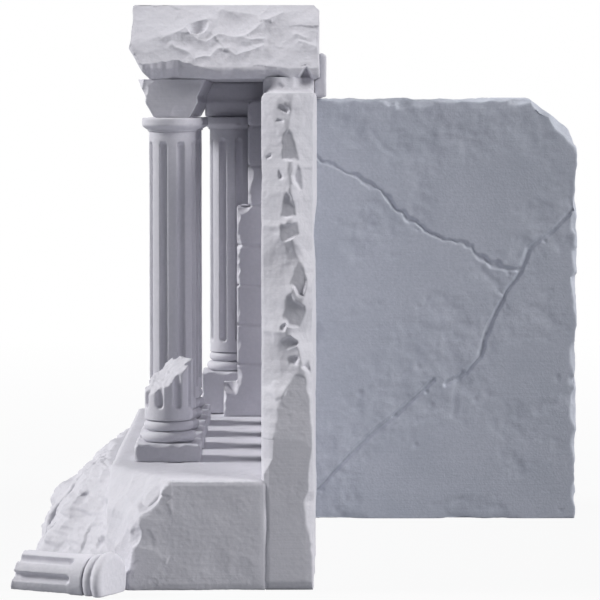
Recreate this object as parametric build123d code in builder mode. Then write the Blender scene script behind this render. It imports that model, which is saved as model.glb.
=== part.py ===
from build123d import *
from math import cos, radians, sin
import os

# Miniature terrain ruin for a 28 to 32 mm tabletop scale: a broken portico on a rock podium.
# The origin is on the ground, under the centre line of the front columns, halfway along the podium.
# +Y runs along the ruin to its far end, +X goes from the columns to the back wall, and +Z is up.
# Every piece is glued to its neighbours and located by round spigots in sockets.

# Driving dimensions, in millimetres.
ruin_length = 225.0  # podium, wall and floor along Y
podium_height = 33.6
floor_front = 18.1  # column centre line to the front edge of the floor
porch_width = 30.0  # column centre line to the porch face of the back wall
break_length = 45.0  # broken near corner, along the floor's front edge
break_width = 21.7  # broken near corner, along the floor's near edge
break_ledge = 10.2  # the break's upper facet, out from its top and down from the floor
break_drop = 11.1
break_spread = 14.7  # how far the foot of the broken corner stands out past its top

wall_thickness = 17.1
wall_edge_drop = 4.8  # the wall's uncovered near stretch is this much lower than the rest
wall_rough_start = 36.0  # height at which the wall's near end turns rough
wall_rough_chamfer = 4.5

column_height = 108.9  # floor to the underside of the beams
column_pitch = 37.5
first_column = 57.3  # near end of the podium to the first column
full_columns = (2, 3, 4)
plinth_width = 21.0
plinth_height = 5.7
plinth_wear = 0.8  # worn upper edges
base_height = 7.0
base_radius = 8.8
base_step = 0.9  # the upper ring is this much smaller in radius
shaft_radius = 7.65
capital_height = 4.6
capital_radius = 10.0
capital_foot = 0.5  # the capital's foot stands this far out from the shaft
capital_draft = 0.4  # the band leans in this much
flute_count = 8
flute_radius = 1.4
flute_sink = 0.35  # flute axis inside the shaft's surface
flute_foot = 4.0  # plain shaft under the flutes
flute_neck = 3.3  # plain shaft above the flutes
flute_turn = -21.0  # degrees, first flute from +X
stump_height = 15.0  # broken shaft at its axis, over its base rings
stump_slope = (-0.55, -0.35, 0.76)  # way that its break faces

pedestal_height = 15.4
far_column_x = 17.2
far_column_y = 99.5

beam_height = 12.6
beam_foot = 5.9  # half widths of the beams' moulded profile, from the bottom up
beam_belly = 8.7
beam_neck = 8.3
beam_lip = 11.4
beam_belly_rise = 5.2
beam_neck_rise = 6.8
beam_start = 88.0  # near end of the podium to the near end of the front beam

roof_start = 82.0  # near end of the podium to the near end of the roof
roof_height = 24.6
roof_front = 14.6  # column centre line to the roof's front edge
roof_overhang = 1.5  # roof past the wall's outer face
roof_undercut_width = 7.2  # rough undercut along the roof's front lower edge
roof_undercut_height = 12.6
cornice_top = 8.8  # over the roof's underside
cornice_reach = 3.9  # past the wall's outer face
cornice_start = 100.0  # from the near end of the podium
cornice_bevel = 1.2

slab_setback = 163.5  # near end of the podium to the side slab
slab_width = 93.6
slab_thickness = 16.0
slab_step = 5.7  # the side slab's top is this much below the wall's

cross_wall_setback = 191.0
cross_wall_thickness = 9.5
cross_wall_foot = (15.1, 12.4)  # lowest step: reach from the wall, top over the floor
cross_wall_waist = (10.1, 32.1)  # middle step: reach from the wall, top under the beams' underside
cross_wall_head = (6.1, 5.7)  # highest step: reach from the wall, top over the beams' underside
course_pitch = 14.4
course_first = 19.2  # first joint over the floor
joint_width = 1.0  # side of the square groove, set on its corner, that marks a joint

drum_length = 33.0  # fallen piece of column, rings included
drum_height = 3.9  # its axis over the ground, less than its radius because it is cut flat
drum_turn = 153.0  # degrees in plan, from its base end to its broken end
drum_x = -14.2  # middle of its base end, from the column centre line
drum_y = -7.1  # past the near end of the podium
drum_break = (-0.93, 0.2, 0.25)  # way that its broken end faces

rubble_splice = 72.0  # near end of the podium to where the two rubble pieces meet
rubble_peg_height = 9.0
near_rubble_pegs = (60.0,)  # spigots, from the near end of the podium
far_rubble_pegs = (100.0, 190.0)
wall_pegs = (30.0, 112.5, 195.0)
roof_pegs = (110.0, 180.0)
cornice_pegs = (120.0, 195.0)
slab_pegs = (30.0, 75.0, 120.0)  # spigots, over the ground
spigot_radius = 2.5
spigot_length = 3.5
socket_clearance = 0.1
socket_depth = 4.0

# Places worked out from the driving dimensions.
near_end = -ruin_length / 2
far_end = ruin_length / 2
beam_base = podium_height + column_height
beam_top = beam_base + beam_height
roof_top = beam_top + roof_height
wall_outer = porch_width + wall_thickness
beam_near = near_end + beam_start
roof_near = near_end + roof_start
shaft_base = podium_height + plinth_height + base_height
shaft_top = beam_base - capital_height
column_ys = [near_end + first_column + column_pitch * place for place in range(4)]
splice_y = near_end + rubble_splice
pedestal_top = podium_height + pedestal_height
roof_back = wall_outer + roof_overhang
slab_height = beam_top - slab_step
slab_y = near_end + slab_setback
cross_wall_y = near_end + cross_wall_setback

os.makedirs("parts", exist_ok=True)


def write(piece, name):
    """Labels a finished piece and writes it as a node."""
    piece.part.label = name
    export_step(piece.part, f"parts/{name}.step")


def spigots(*planes):
    """Round spigots standing out of a face, along each plane's normal."""
    with Locations(*planes):
        Cylinder(spigot_radius, spigot_length, align=(Align.CENTER, Align.CENTER, Align.MIN))


def sockets(*planes):
    """Sockets for the spigots, sunk into a face whose outward normal is each plane's."""
    radius = spigot_radius + socket_clearance
    with Locations(*planes):
        Cylinder(radius, socket_depth, align=(Align.CENTER, Align.CENTER, Align.MAX), mode=Mode.SUBTRACT)


def facing(x, y, z, normal):
    """A plane at a point of a face, with the given normal."""
    return Plane(origin=(x, y, z), z_dir=normal)


UP = (0, 0, 1)
DOWN = (0, 0, -1)
RIGHT = (1, 0, 0)
LEFT = (-1, 0, 0)
NEAR = (0, -1, 0)


# Podium: the floor block, with its near front corner broken off along a sloping plane.
def podium_block():
    """The podium's outer shape, without its sockets."""
    with BuildPart() as block:
        with Locations((-floor_front, near_end, 0)):
            Box(floor_front + porch_width, ruin_length, podium_height, align=Align.MIN)
        corner_x = break_width - floor_front
        along = Vector(-break_width, break_length, 0)
        top = Vector(corner_x, near_end, podium_height)
        ledge = Vector(corner_x - break_ledge, near_end, podium_height - break_drop)
        foot = Vector(corner_x - break_spread, near_end, 0)
        for upper, lower in ((top, ledge), (ledge, foot)):
            outward = along.cross(lower - upper)
            split(bisect_by=Plane(origin=upper, z_dir=outward), keep=Keep.BOTTOM)
    return block.part


block = podium_block()
wall_peg_height = podium_height / 2
cross_wall_middle = cross_wall_y + cross_wall_thickness / 2
cross_wall_peg_x = porch_width - cross_wall_foot[0] / 2

with BuildPart() as podium:
    add(block)
    sockets(*[facing(0, y, podium_height, UP) for y in column_ys])
    sockets(facing(far_column_x, far_column_y, podium_height, UP))
    sockets(facing(cross_wall_peg_x, cross_wall_middle, podium_height, UP))
    sockets(*[facing(porch_width, near_end + y, wall_peg_height, RIGHT) for y in wall_pegs])
    front_pegs = near_rubble_pegs + far_rubble_pegs
    sockets(*[facing(-floor_front, near_end + y, rubble_peg_height, LEFT) for y in front_pegs])
write(podium, "podium")


# Front rubble: beds of eroded rock against the podium's front, each bed smaller than the one below.
def rubble(beds, near, far, pegs):
    """Stacks beds given as (base height, top height, taper, outline) and fits them to the podium."""
    with BuildPart() as piece:
        for base, top, taper, points in beds:
            with BuildSketch(Plane.XY.offset(base)):
                with BuildLine():
                    Polyline(*[(x - floor_front, near_end + y) for x, y in reversed(points)], close=True)
                make_face()
            extrude(amount=top - base, taper=taper)
        split(bisect_by=facing(0, near, 0, (0, 1, 0)), keep=Keep.TOP)
        split(bisect_by=facing(0, far, 0, (0, 1, 0)), keep=Keep.BOTTOM)
        add(block, mode=Mode.SUBTRACT)
        spigots(*[facing(-floor_front, near_end + y, rubble_peg_height, RIGHT) for y in pegs])
    return piece


# Outlines run from the podium's front face, x, and from its near end, y; both reach past the splice.
near_beds = (
    (0.0, 9.0, 8, ((20, 8), (4, 9), (-4, 22), (-12, 38), (-20, 52), (-26, 66), (-26, 84), (20, 84))),
    (9.0, 17.0, 10, ((20, 16), (3, 18), (-5, 32), (-14, 46), (-20, 58), (-22.5, 84), (20, 84))),
    (17.0, 25.0, 16, ((20, 24), (4, 26), (-2, 38), (-8, 48), (-14, 60), (-16, 84), (20, 84))),
    (25.0, 32.0, 24, ((20, 32), (4, 34), (0, 44), (-5, 54), (-9, 66), (-10, 84), (20, 84))),
)
far_beds = (
    (0.0, 8.0, 6,
     ((20, 60), (-25, 60), (-24.5, 90), (-26, 112), (-21, 140), (-23, 168), (-16, 196), (20, 212))),
    (8.0, 15.0, 8,
     ((20, 60), (-22, 60), (-21, 96), (-22, 118), (-17, 146), (-18, 170), (-12, 192), (20, 206))),
    (15.0, 21.0, 12,
     ((20, 60), (-18, 60), (-17, 94), (-18, 116), (-13, 148), (-14, 166), (-9, 186), (20, 198))),
    (21.0, 27.0, 16,
     ((20, 60), (-13.5, 60), (-12, 92), (-13, 118), (-9, 150), (-9, 166), (-6, 180), (20, 190))),
    (27.0, 32.0, 24, ((20, 60), (-8, 60), (-7, 90), (-8, 114), (-5, 146), (-5, 162), (20, 176))),
)
front_rubble_near = rubble(near_beds, near_end, splice_y, near_rubble_pegs)
write(front_rubble_near, "front_rubble_near")
front_rubble_far = rubble(far_beds, splice_y, far_end, far_rubble_pegs)
write(front_rubble_far, "front_rubble_far")

# Back wall: stands on the ground beside the podium, with a rough near end above the floor.
slab_middle = slab_y + slab_thickness / 2
wall_middle = porch_width + wall_thickness / 2
roof_peg_ys = [near_end + y for y in roof_pegs]

with BuildPart() as back_wall:
    with Locations((porch_width, near_end, 0)):
        Box(wall_thickness, ruin_length, beam_top, align=Align.MIN)
    with Locations((porch_width, near_end, beam_top - wall_edge_drop)):
        Box(wall_thickness, roof_start, wall_edge_drop, align=Align.MIN, mode=Mode.SUBTRACT)
    for side, inward in ((porch_width, 1), (wall_outer, -1)):
        corner = (
            (side, near_end),
            (side + inward * wall_rough_chamfer, near_end),
            (side, near_end + wall_rough_chamfer),
        )
        with BuildSketch(Plane.XY.offset(wall_rough_start)):
            with BuildLine():
                Polyline(*corner, close=True)
            make_face()
        extrude(amount=beam_top - wall_rough_start, mode=Mode.SUBTRACT)
    spigots(*[facing(porch_width, near_end + y, wall_peg_height, LEFT) for y in wall_pegs])
    sockets(*[facing(wall_outer, slab_middle, z, RIGHT) for z in slab_pegs])
    sockets(*[facing(wall_middle, y, beam_top, UP) for y in roof_peg_ys])
write(back_wall, "back_wall")

# Side slab: a large flat stone standing square to the wall, with one corner broken off.
slab_end = wall_outer + slab_width
slab_outline = (
    (wall_outer, 0),
    (slab_end, 0),
    (slab_end, slab_height - 19.5),
    (slab_end - 3, slab_height - 10.5),
    (slab_end - 16, slab_height - 1.2),
    (slab_end - 50, slab_height),
    (wall_outer + 4, slab_height),
    (wall_outer, slab_height - 1.5),
)
with BuildPart() as side_slab:
    with BuildSketch(Plane.XZ.offset(-slab_y)):
        with BuildLine():
            Polyline(*slab_outline, close=True)
        make_face()
    extrude(amount=-slab_thickness)
    spigots(*[facing(wall_outer, slab_middle, z, LEFT) for z in slab_pegs])
write(side_slab, "side_slab")

# Cross wall: an ashlar stub across the porch, stepped where it broke, with shallow course joints.
cross_wall_rise = column_height + cross_wall_head[1]
cross_wall_steps = (
    cross_wall_foot,
    (cross_wall_waist[0], column_height - cross_wall_waist[1]),
    (cross_wall_head[0], cross_wall_rise),
)
stepped_edge = [(porch_width, podium_height)]
for reach, top in cross_wall_steps:
    stepped_edge.append((porch_width - reach, stepped_edge[-1][1]))
    stepped_edge.append((porch_width - reach, podium_height + top))
stepped_edge.append((porch_width, podium_height + cross_wall_rise))
courses = int((cross_wall_rise - course_first) / course_pitch) + 1
joint_length = 2 * cross_wall_foot[0]
cross_wall_faces = (cross_wall_y, cross_wall_y + cross_wall_thickness)
with BuildPart() as cross_wall:
    with BuildSketch(Plane.XZ.offset(-cross_wall_y)):
        with BuildLine():
            Polyline(*stepped_edge, close=True)
        make_face()
    extrude(amount=-cross_wall_thickness)
    for course in range(courses):
        height = podium_height + course_first + course * course_pitch
        with Locations(*[(porch_width, y, height) for y in cross_wall_faces]):
            Box(joint_length, joint_width, joint_width, rotation=(45, 0, 0), mode=Mode.SUBTRACT)
    spigots(facing(cross_wall_peg_x, cross_wall_middle, podium_height, DOWN))
write(cross_wall, "cross_wall")

# Pedestal: the square block under the far column.
with BuildPart() as far_pedestal:
    with Locations((far_column_x, far_column_y, podium_height)):
        Box(plinth_width, plinth_width, pedestal_height, align=(Align.CENTER, Align.CENTER, Align.MIN))
    spigots(facing(far_column_x, far_column_y, podium_height, DOWN))
    sockets(facing(far_column_x, far_column_y, pedestal_top, UP))
write(far_pedestal, "far_pedestal")


# Columns: each is a plinth, a base of two rings, a fluted shaft and a capital.
def make_plinth(x, y):
    """Square plinth on the floor, its upper edges worn."""
    with BuildPart() as piece:
        with Locations((x, y, podium_height)):
            Box(plinth_width, plinth_width, plinth_height, align=(Align.CENTER, Align.CENTER, Align.MIN))
        chamfer(piece.faces().sort_by(Axis.Z)[-1].edges(), plinth_wear)
        spigots(facing(x, y, podium_height, DOWN))
        sockets(facing(x, y, podium_height + plinth_height, UP))
    return piece


def ring_section():
    """Half section of the base, from its axis out: two round rings with a step between them."""
    half = base_height / 2
    bulge = half / 2
    upper = base_radius - base_step
    with BuildSketch() as section:
        with BuildLine():
            Polyline((base_radius - bulge, 0), (0, 0), (0, base_height), (upper - bulge, base_height))
            ThreePointArc((upper - bulge, base_height), (upper, base_height - bulge), (upper - bulge, half))
            Line((upper - bulge, half), (base_radius - bulge, half))
            ThreePointArc((base_radius - bulge, half), (base_radius, bulge), (base_radius - bulge, 0))
        make_face()
    return section.sketch


def make_base(foot):
    """Two rings turned round the normal of the plane that they stand on."""
    with BuildPart() as piece:
        with BuildSketch(Plane(origin=foot.origin, x_dir=foot.x_dir, z_dir=-foot.y_dir)):
            add(ring_section())
        revolve(axis=Axis(foot.origin, foot.z_dir))
        sockets(foot.offset(base_height))
    return piece


def make_standing_base(x, y, height):
    """The rings of a standing column, with a spigot into what carries them."""
    with BuildPart() as piece:
        add(make_base(Plane(origin=(x, y, height))).part)
        spigots(facing(x, y, height, DOWN))
    return piece


def cut_flutes(foot, top):
    """Cuts round-ended flutes into a shaft that stands on the builder's plane."""
    ring = shaft_radius - flute_sink
    low = foot + flute_radius
    high = top - flute_radius
    for height in (low, high):
        with Locations((0, 0, height)):
            with PolarLocations(ring, flute_count, flute_turn):
                Sphere(flute_radius, mode=Mode.SUBTRACT)
    with Locations((0, 0, low)):
        with PolarLocations(ring, flute_count, flute_turn):
            Cylinder(
                flute_radius,
                high - low,
                align=(Align.CENTER, Align.CENTER, Align.MIN),
                mode=Mode.SUBTRACT,
            )


def make_shaft(x, y, base, top):
    """Fluted shaft between two heights."""
    length = top - base
    with BuildPart(Plane(origin=(x, y, base))) as piece:
        Cylinder(shaft_radius, length, align=(Align.CENTER, Align.CENTER, Align.MIN))
        cut_flutes(flute_foot, length - flute_neck)
        spigots(facing(0, 0, 0, DOWN))
        sockets(facing(0, 0, length, UP))
    return piece


def make_capital(x, y):
    """Round capital that flares to a plain band under the beam."""
    band = capital_height / 2
    with BuildPart() as piece:
        with BuildSketch(Plane(origin=(x, y, shaft_top), x_dir=RIGHT, z_dir=NEAR)):
            with BuildLine():
                Polyline(
                    (0, 0),
                    (0, capital_height),
                    (capital_radius - capital_draft, capital_height),
                    (capital_radius, band),
                    (shaft_radius + capital_foot, 0),
                    close=True,
                )
            make_face()
        revolve(axis=Axis((x, y, shaft_top), UP))
        spigots(facing(x, y, shaft_top, DOWN))
        sockets(facing(x, y, beam_base, UP))
    return piece


for number, column_y in enumerate(column_ys, start=1):
    name = f"front_column_{number}"
    write(make_plinth(0, column_y), f"{name}_plinth")
    write(make_standing_base(0, column_y, podium_height + plinth_height), f"{name}_base")
    if number in full_columns:
        write(make_shaft(0, column_y, shaft_base, shaft_top), f"{name}_shaft")
        write(make_capital(0, column_y), f"{name}_capital")

# Broken shaft: the first column's stump, snapped off along a slope that rises to the back.
stump_break = Plane(origin=(0, column_ys[0], shaft_base + stump_height), z_dir=stump_slope)
with BuildPart(Plane(origin=(0, column_ys[0], shaft_base))) as stump:
    Cylinder(shaft_radius, 2 * stump_height, align=(Align.CENTER, Align.CENTER, Align.MIN))
    cut_flutes(flute_foot, 2 * stump_height + 2 * flute_radius)
    split(bisect_by=stump_break, keep=Keep.BOTTOM)
    spigots(facing(0, 0, 0, DOWN))
write(stump, "front_column_1_broken_shaft")

# Far column: the same base, shaft and capital, standing on the pedestal.
write(make_standing_base(far_column_x, far_column_y, pedestal_top), "far_column_base")
far_shaft_base = pedestal_top + base_height
write(make_shaft(far_column_x, far_column_y, far_shaft_base, shaft_top), "far_column_shaft")
write(make_capital(far_column_x, far_column_y), "far_column_capital")

# Fallen column: a piece of shaft with its base rings, cut flat where it lies on the ground.
drum_axis = (cos(radians(drum_turn)), sin(radians(drum_turn)), 0)
drum_end = Plane(origin=(drum_x, near_end + drum_y, drum_height), x_dir=UP, z_dir=drum_axis)
drum_joint = drum_end.offset(base_height)
drum_shaft = drum_length - base_height
with BuildPart() as fallen_base:
    add(make_base(drum_end).part)
    split(bisect_by=Plane.XY, keep=Keep.TOP)
    add(block, mode=Mode.SUBTRACT)
write(fallen_base, "fallen_column_base")

with BuildPart(drum_joint) as fallen_shaft:
    Cylinder(shaft_radius, 2 * drum_shaft, align=(Align.CENTER, Align.CENTER, Align.MIN))
    cut_flutes(flute_foot, 2 * drum_shaft + 2 * flute_radius)
    split(bisect_by=Plane(origin=drum_joint.offset(drum_shaft).origin, z_dir=drum_break), keep=Keep.BOTTOM)
    split(bisect_by=Plane.XY, keep=Keep.TOP)
    add(front_rubble_near.part, mode=Mode.SUBTRACT)
    spigots(facing(0, 0, 0, DOWN))
write(fallen_shaft, "fallen_column_shaft")

# Beams: one moulded profile, along the front columns and across from them to the wall.
beam_half = (
    (beam_foot, 0),
    (beam_belly, beam_belly_rise),
    (beam_neck, beam_neck_rise),
    (beam_lip, beam_height),
)
beam_outline = [*beam_half, *[(-x, z) for x, z in reversed(beam_half)]]
carried = [column_ys[number - 1] for number in full_columns]

with BuildPart() as front_beam:
    with BuildSketch(Plane(origin=(0, beam_near, beam_base), x_dir=LEFT, z_dir=(0, 1, 0))):
        with BuildLine():
            Polyline(*beam_outline, close=True)
        make_face()
    extrude(amount=far_end - beam_near)
    spigots(*[facing(0, y, beam_base, DOWN) for y in carried])
    sockets(*[facing(0, y, beam_top, UP) for y in roof_peg_ys])
write(front_beam, "front_beam")

with BuildPart() as cross_beam:
    with BuildSketch(Plane(origin=(0, far_column_y, beam_base), x_dir=(0, 1, 0), z_dir=RIGHT)):
        with BuildLine():
            Polyline(*beam_outline, close=True)
        make_face()
    extrude(amount=porch_width)
    add(front_beam.part, mode=Mode.SUBTRACT)
    spigots(facing(far_column_x, far_column_y, beam_base, DOWN))
write(cross_beam, "cross_beam")

# Roof slab: rough block over the beams and the wall, its front lower edge undercut.
roof_outline = (
    (-roof_front + roof_undercut_width, beam_top),
    (roof_back, beam_top),
    (roof_back, roof_top),
    (-roof_front, roof_top),
    (-roof_front, beam_top + roof_undercut_height),
)
cornice_peg_height = beam_top + cornice_top / 2
cornice_peg_ys = [near_end + y for y in cornice_pegs]
with BuildPart() as roof_slab:
    with BuildSketch(Plane.XZ.offset(-roof_near)):
        with BuildLine():
            Polyline(*roof_outline, close=True)
        make_face()
    extrude(amount=roof_near - far_end)
    spigots(*[facing(x, y, beam_top, DOWN) for x in (0, wall_middle) for y in roof_peg_ys])
    sockets(*[facing(roof_back, y, cornice_peg_height, RIGHT) for y in cornice_peg_ys])
write(roof_slab, "roof_slab")

# Back cornice: a moulding along the outside of the wall and the roof, on top of the side slab.
cornice_outline = (
    (wall_outer, slab_height),
    (wall_outer + cornice_reach, slab_height),
    (wall_outer + cornice_reach, beam_top + cornice_top - cornice_bevel),
    (wall_outer + cornice_reach - cornice_bevel, beam_top + cornice_top),
    (roof_back, beam_top + cornice_top),
    (roof_back, beam_top),
    (wall_outer, beam_top),
)
cornice_y = near_end + cornice_start
with BuildPart() as back_cornice:
    with BuildSketch(Plane.XZ.offset(-cornice_y)):
        with BuildLine():
            Polyline(*cornice_outline, close=True)
        make_face()
    extrude(amount=cornice_y - far_end)
    spigots(*[facing(roof_back, y, cornice_peg_height, LEFT) for y in cornice_peg_ys])
write(back_cornice, "back_cornice")
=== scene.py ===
"""Miniature terrain ruin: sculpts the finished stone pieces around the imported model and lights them.

Shapes are worked in millimetres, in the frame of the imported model, and written in metres.
+Y runs along the ruin from its broken near end, +X from the columns to the back wall, +Z up.
"""

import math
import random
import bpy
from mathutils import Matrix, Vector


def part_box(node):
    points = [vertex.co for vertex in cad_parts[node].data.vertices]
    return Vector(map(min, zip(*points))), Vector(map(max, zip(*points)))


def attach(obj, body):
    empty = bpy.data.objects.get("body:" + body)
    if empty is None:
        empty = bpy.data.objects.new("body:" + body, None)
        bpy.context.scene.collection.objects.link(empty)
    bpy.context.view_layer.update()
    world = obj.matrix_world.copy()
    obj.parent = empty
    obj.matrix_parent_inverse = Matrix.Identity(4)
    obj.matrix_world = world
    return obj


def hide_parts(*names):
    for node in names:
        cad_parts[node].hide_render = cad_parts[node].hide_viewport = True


bl_info = {
    "name": "Terrain Ruin Sculptor",
    "version": (1, 0, 0),
    "blender": (4, 5, 0),
    "location": "3D View > Sidebar > Ruin",
    "description": "Sculpts the pieces of a miniature terrain ruin around its packed model",
    "category": "Object",
}

import bmesh
import bpy
import numpy as np
from mathutils import Matrix, Vector, noise

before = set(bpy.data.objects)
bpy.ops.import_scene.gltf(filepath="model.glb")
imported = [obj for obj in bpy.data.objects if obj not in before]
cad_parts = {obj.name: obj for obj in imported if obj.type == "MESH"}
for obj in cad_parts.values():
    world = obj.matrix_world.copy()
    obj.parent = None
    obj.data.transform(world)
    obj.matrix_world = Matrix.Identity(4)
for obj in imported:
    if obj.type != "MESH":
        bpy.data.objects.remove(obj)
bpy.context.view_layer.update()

MM = 0.001
UP = Vector((0, 0, 1))
DOWN = Vector((0, 0, -1))
LEFT = Vector((-1, 0, 0))
RIGHT = Vector((1, 0, 0))
NEAR = Vector((0, -1, 0))
FAR = Vector((0, 1, 0))


def span(node):
    """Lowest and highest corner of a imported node, in millimetres."""
    low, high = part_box(node)
    return Vector(low) / MM, Vector(high) / MM


# Places that several pieces share, read from the frame.
PODIUM_LOW, PODIUM_HIGH = span("podium")
FLOOR_Z = PODIUM_HIGH.z
NEAR_Y = PODIUM_LOW.y
FAR_Y = PODIUM_HIGH.y
FLOOR_FRONT_X = PODIUM_LOW.x
WALL_X = PODIUM_HIGH.x
WALL_OUTER_X = span("back_wall")[1].x
BEAM_TOP = span("back_wall")[1].z
BEAM_NEAR_Y = span("front_beam")[0].y
ROOF_NEAR_Y = span("roof_slab")[0].y
CAPITAL_TOP = span("front_column_2_capital")[1].z


# Sizes and colours that a user would change.
class RuinSizes(bpy.types.PropertyGroup):
    """Sizes of the ruin's worn and broken detail."""

    grain: bpy.props.FloatProperty(
        name="Grain",
        description="Height of the fine stone grain, in millimetres",
        default=0.055,
        min=0.0,
    )
    wear: bpy.props.FloatProperty(
        name="Wear",
        description="Depth of the soft waves in worn faces, in millimetres",
        default=0.30,
        min=0.0,
    )
    crack_depth: bpy.props.FloatProperty(
        name="Crack depth",
        description="Depth of the side slab's long cracks, in millimetres",
        default=0.95,
    )
    crack_width: bpy.props.FloatProperty(
        name="Crack width",
        description="Half width of the side slab's long cracks, in millimetres",
        default=1.05,
    )
    flute_radius: bpy.props.FloatProperty(
        name="Flute radius", description="Radius of a column's flutes, in millimetres", default=1.4
    )
    flute_sink: bpy.props.FloatProperty(
        name="Flute sink", description="Depth of a flute's axis under the shaft's surface", default=0.35
    )
    course: bpy.props.FloatProperty(
        name="Course", description="Height of one course of ashlar, in millimetres", default=14.4
    )


class RuinFinish(bpy.types.PropertyGroup):
    """Colours of the printed plastic and levels of the light."""

    pale: bpy.props.FloatVectorProperty(
        name="Pale",
        description="Plastic on open faces",
        subtype="COLOR",
        size=3,
        default=(0.66, 0.65, 0.70),
    )
    shade: bpy.props.FloatVectorProperty(
        name="Shade",
        description="Plastic in its darker patches",
        subtype="COLOR",
        size=3,
        default=(0.58, 0.58, 0.63),
    )
    left_lamp: bpy.props.FloatProperty(
        name="Left lamp", description="Strength of the lamp on the columns' side", default=3.3
    )
    right_lamp: bpy.props.FloatProperty(
        name="Right lamp", description="Strength of the lamp on the slab's side", default=2.9
    )
    ambient: bpy.props.FloatVectorProperty(
        name="Ambient",
        description="Light from all round",
        subtype="COLOR",
        size=3,
        default=(0.016, 0.021, 0.030),
    )


# Shapes to start from.
def block(bm, low, high):
    """Adds a closed box between two corners."""
    size = Vector(high) - Vector(low)
    middle = (Vector(high) + Vector(low)) / 2
    bmesh.ops.create_cube(bm, size=1.0, matrix=Matrix.Translation(middle) @ Matrix.Diagonal(size.to_4d()))


def prism(bm, outline, along):
    """Adds a closed prism: a flat outline, as a list of corners, swept along a vector."""
    corners = [bm.verts.new(point) for point in outline]
    face = bm.faces.new(corners)
    swept = bmesh.ops.extrude_face_region(bm, geom=[face])["geom"]
    bmesh.ops.translate(bm, verts=[v for v in swept if isinstance(v, bmesh.types.BMVert)], vec=along)
    bmesh.ops.recalc_face_normals(bm, faces=bm.faces)


def cut(bm, point, normal):
    """Slices off what lies past a plane, and closes the cut."""
    everything = bm.verts[:] + bm.edges[:] + bm.faces[:]
    sliced = bmesh.ops.bisect_plane(
        bm, geom=everything, dist=1e-5, plane_co=point, plane_no=normal, clear_outer=True
    )
    rim = [e for e in sliced["geom_cut"] if isinstance(e, bmesh.types.BMEdge)]
    bmesh.ops.holes_fill(bm, edges=rim)


def even_skin(bm, cell, soften=0):
    """Replaces overlapping closed shells with one skin of even square cells, softened if asked."""
    mesh = bpy.data.meshes.new("blank")
    bm.to_mesh(mesh)
    bm.free()
    blank = bpy.data.objects.new("blank", mesh)
    bpy.context.scene.collection.objects.link(blank)
    remesh = blank.modifiers.new("Even skin", "REMESH")
    remesh.mode = "VOXEL"
    remesh.voxel_size = cell
    if soften:
        smooth = blank.modifiers.new("Soften", "SMOOTH")
        smooth.factor = 0.5
        smooth.iterations = soften
    shown = blank.evaluated_get(bpy.context.evaluated_depsgraph_get())
    skin = bpy.data.meshes.new_from_object(shown)
    out = bmesh.new()
    out.from_mesh(skin)
    bpy.data.objects.remove(blank)
    bpy.data.meshes.remove(mesh)
    bpy.data.meshes.remove(skin)
    return out


def refine(bm, inside):
    """Halves every edge whose two ends pass a test, so that fine breaks have points to stand on."""
    edges = [e for e in bm.edges if inside(e.verts[0].co) and inside(e.verts[1].co)]
    bmesh.ops.subdivide_edges(bm, edges=edges, cuts=1, use_grid_fill=True)


def waves(points, size, octaves=3, seed=0.0):
    """Smooth noise from about -1 to 1 at each point, with features of a given size."""
    shift = np.array((seed * 13.7, seed * 7.1, seed * 3.3))
    return np.array([noise.fractal(p, 1.0, 2.1, octaves) for p in (points / size + shift).tolist()])


def hammered(points, size, seed, lean=0.6):
    """Heights of worked stone: shallow bowls round scattered centres, which meet in sharp ridges."""
    shift = np.array((seed * 5.3, seed * 3.1, seed * 8.7))
    heights = []
    for point in (points / size + shift).tolist():
        gaps, centres = noise.voronoi(point)
        here = Vector(point)
        best = 9.0
        for gap, centre in zip(gaps[:3], centres[:3]):
            tilt = noise.cell_vector(centre * 31.7) - Vector((0.5, 0.5, 0.5))
            best = min(best, gap * gap + lean * 2 * tilt.dot(here - centre) + 0.5 * tilt.z)
        heights.append(best)
    heights = np.array(heights)
    return heights - heights.mean()


def segment_distance(points, start, end):
    """Distance of 2-D points from a straight stretch."""
    run = end - start
    along = np.clip(((points - start) @ run) / (run @ run), 0, 1)
    return np.linalg.norm(points - start - along[:, None] * run, axis=1)


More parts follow.
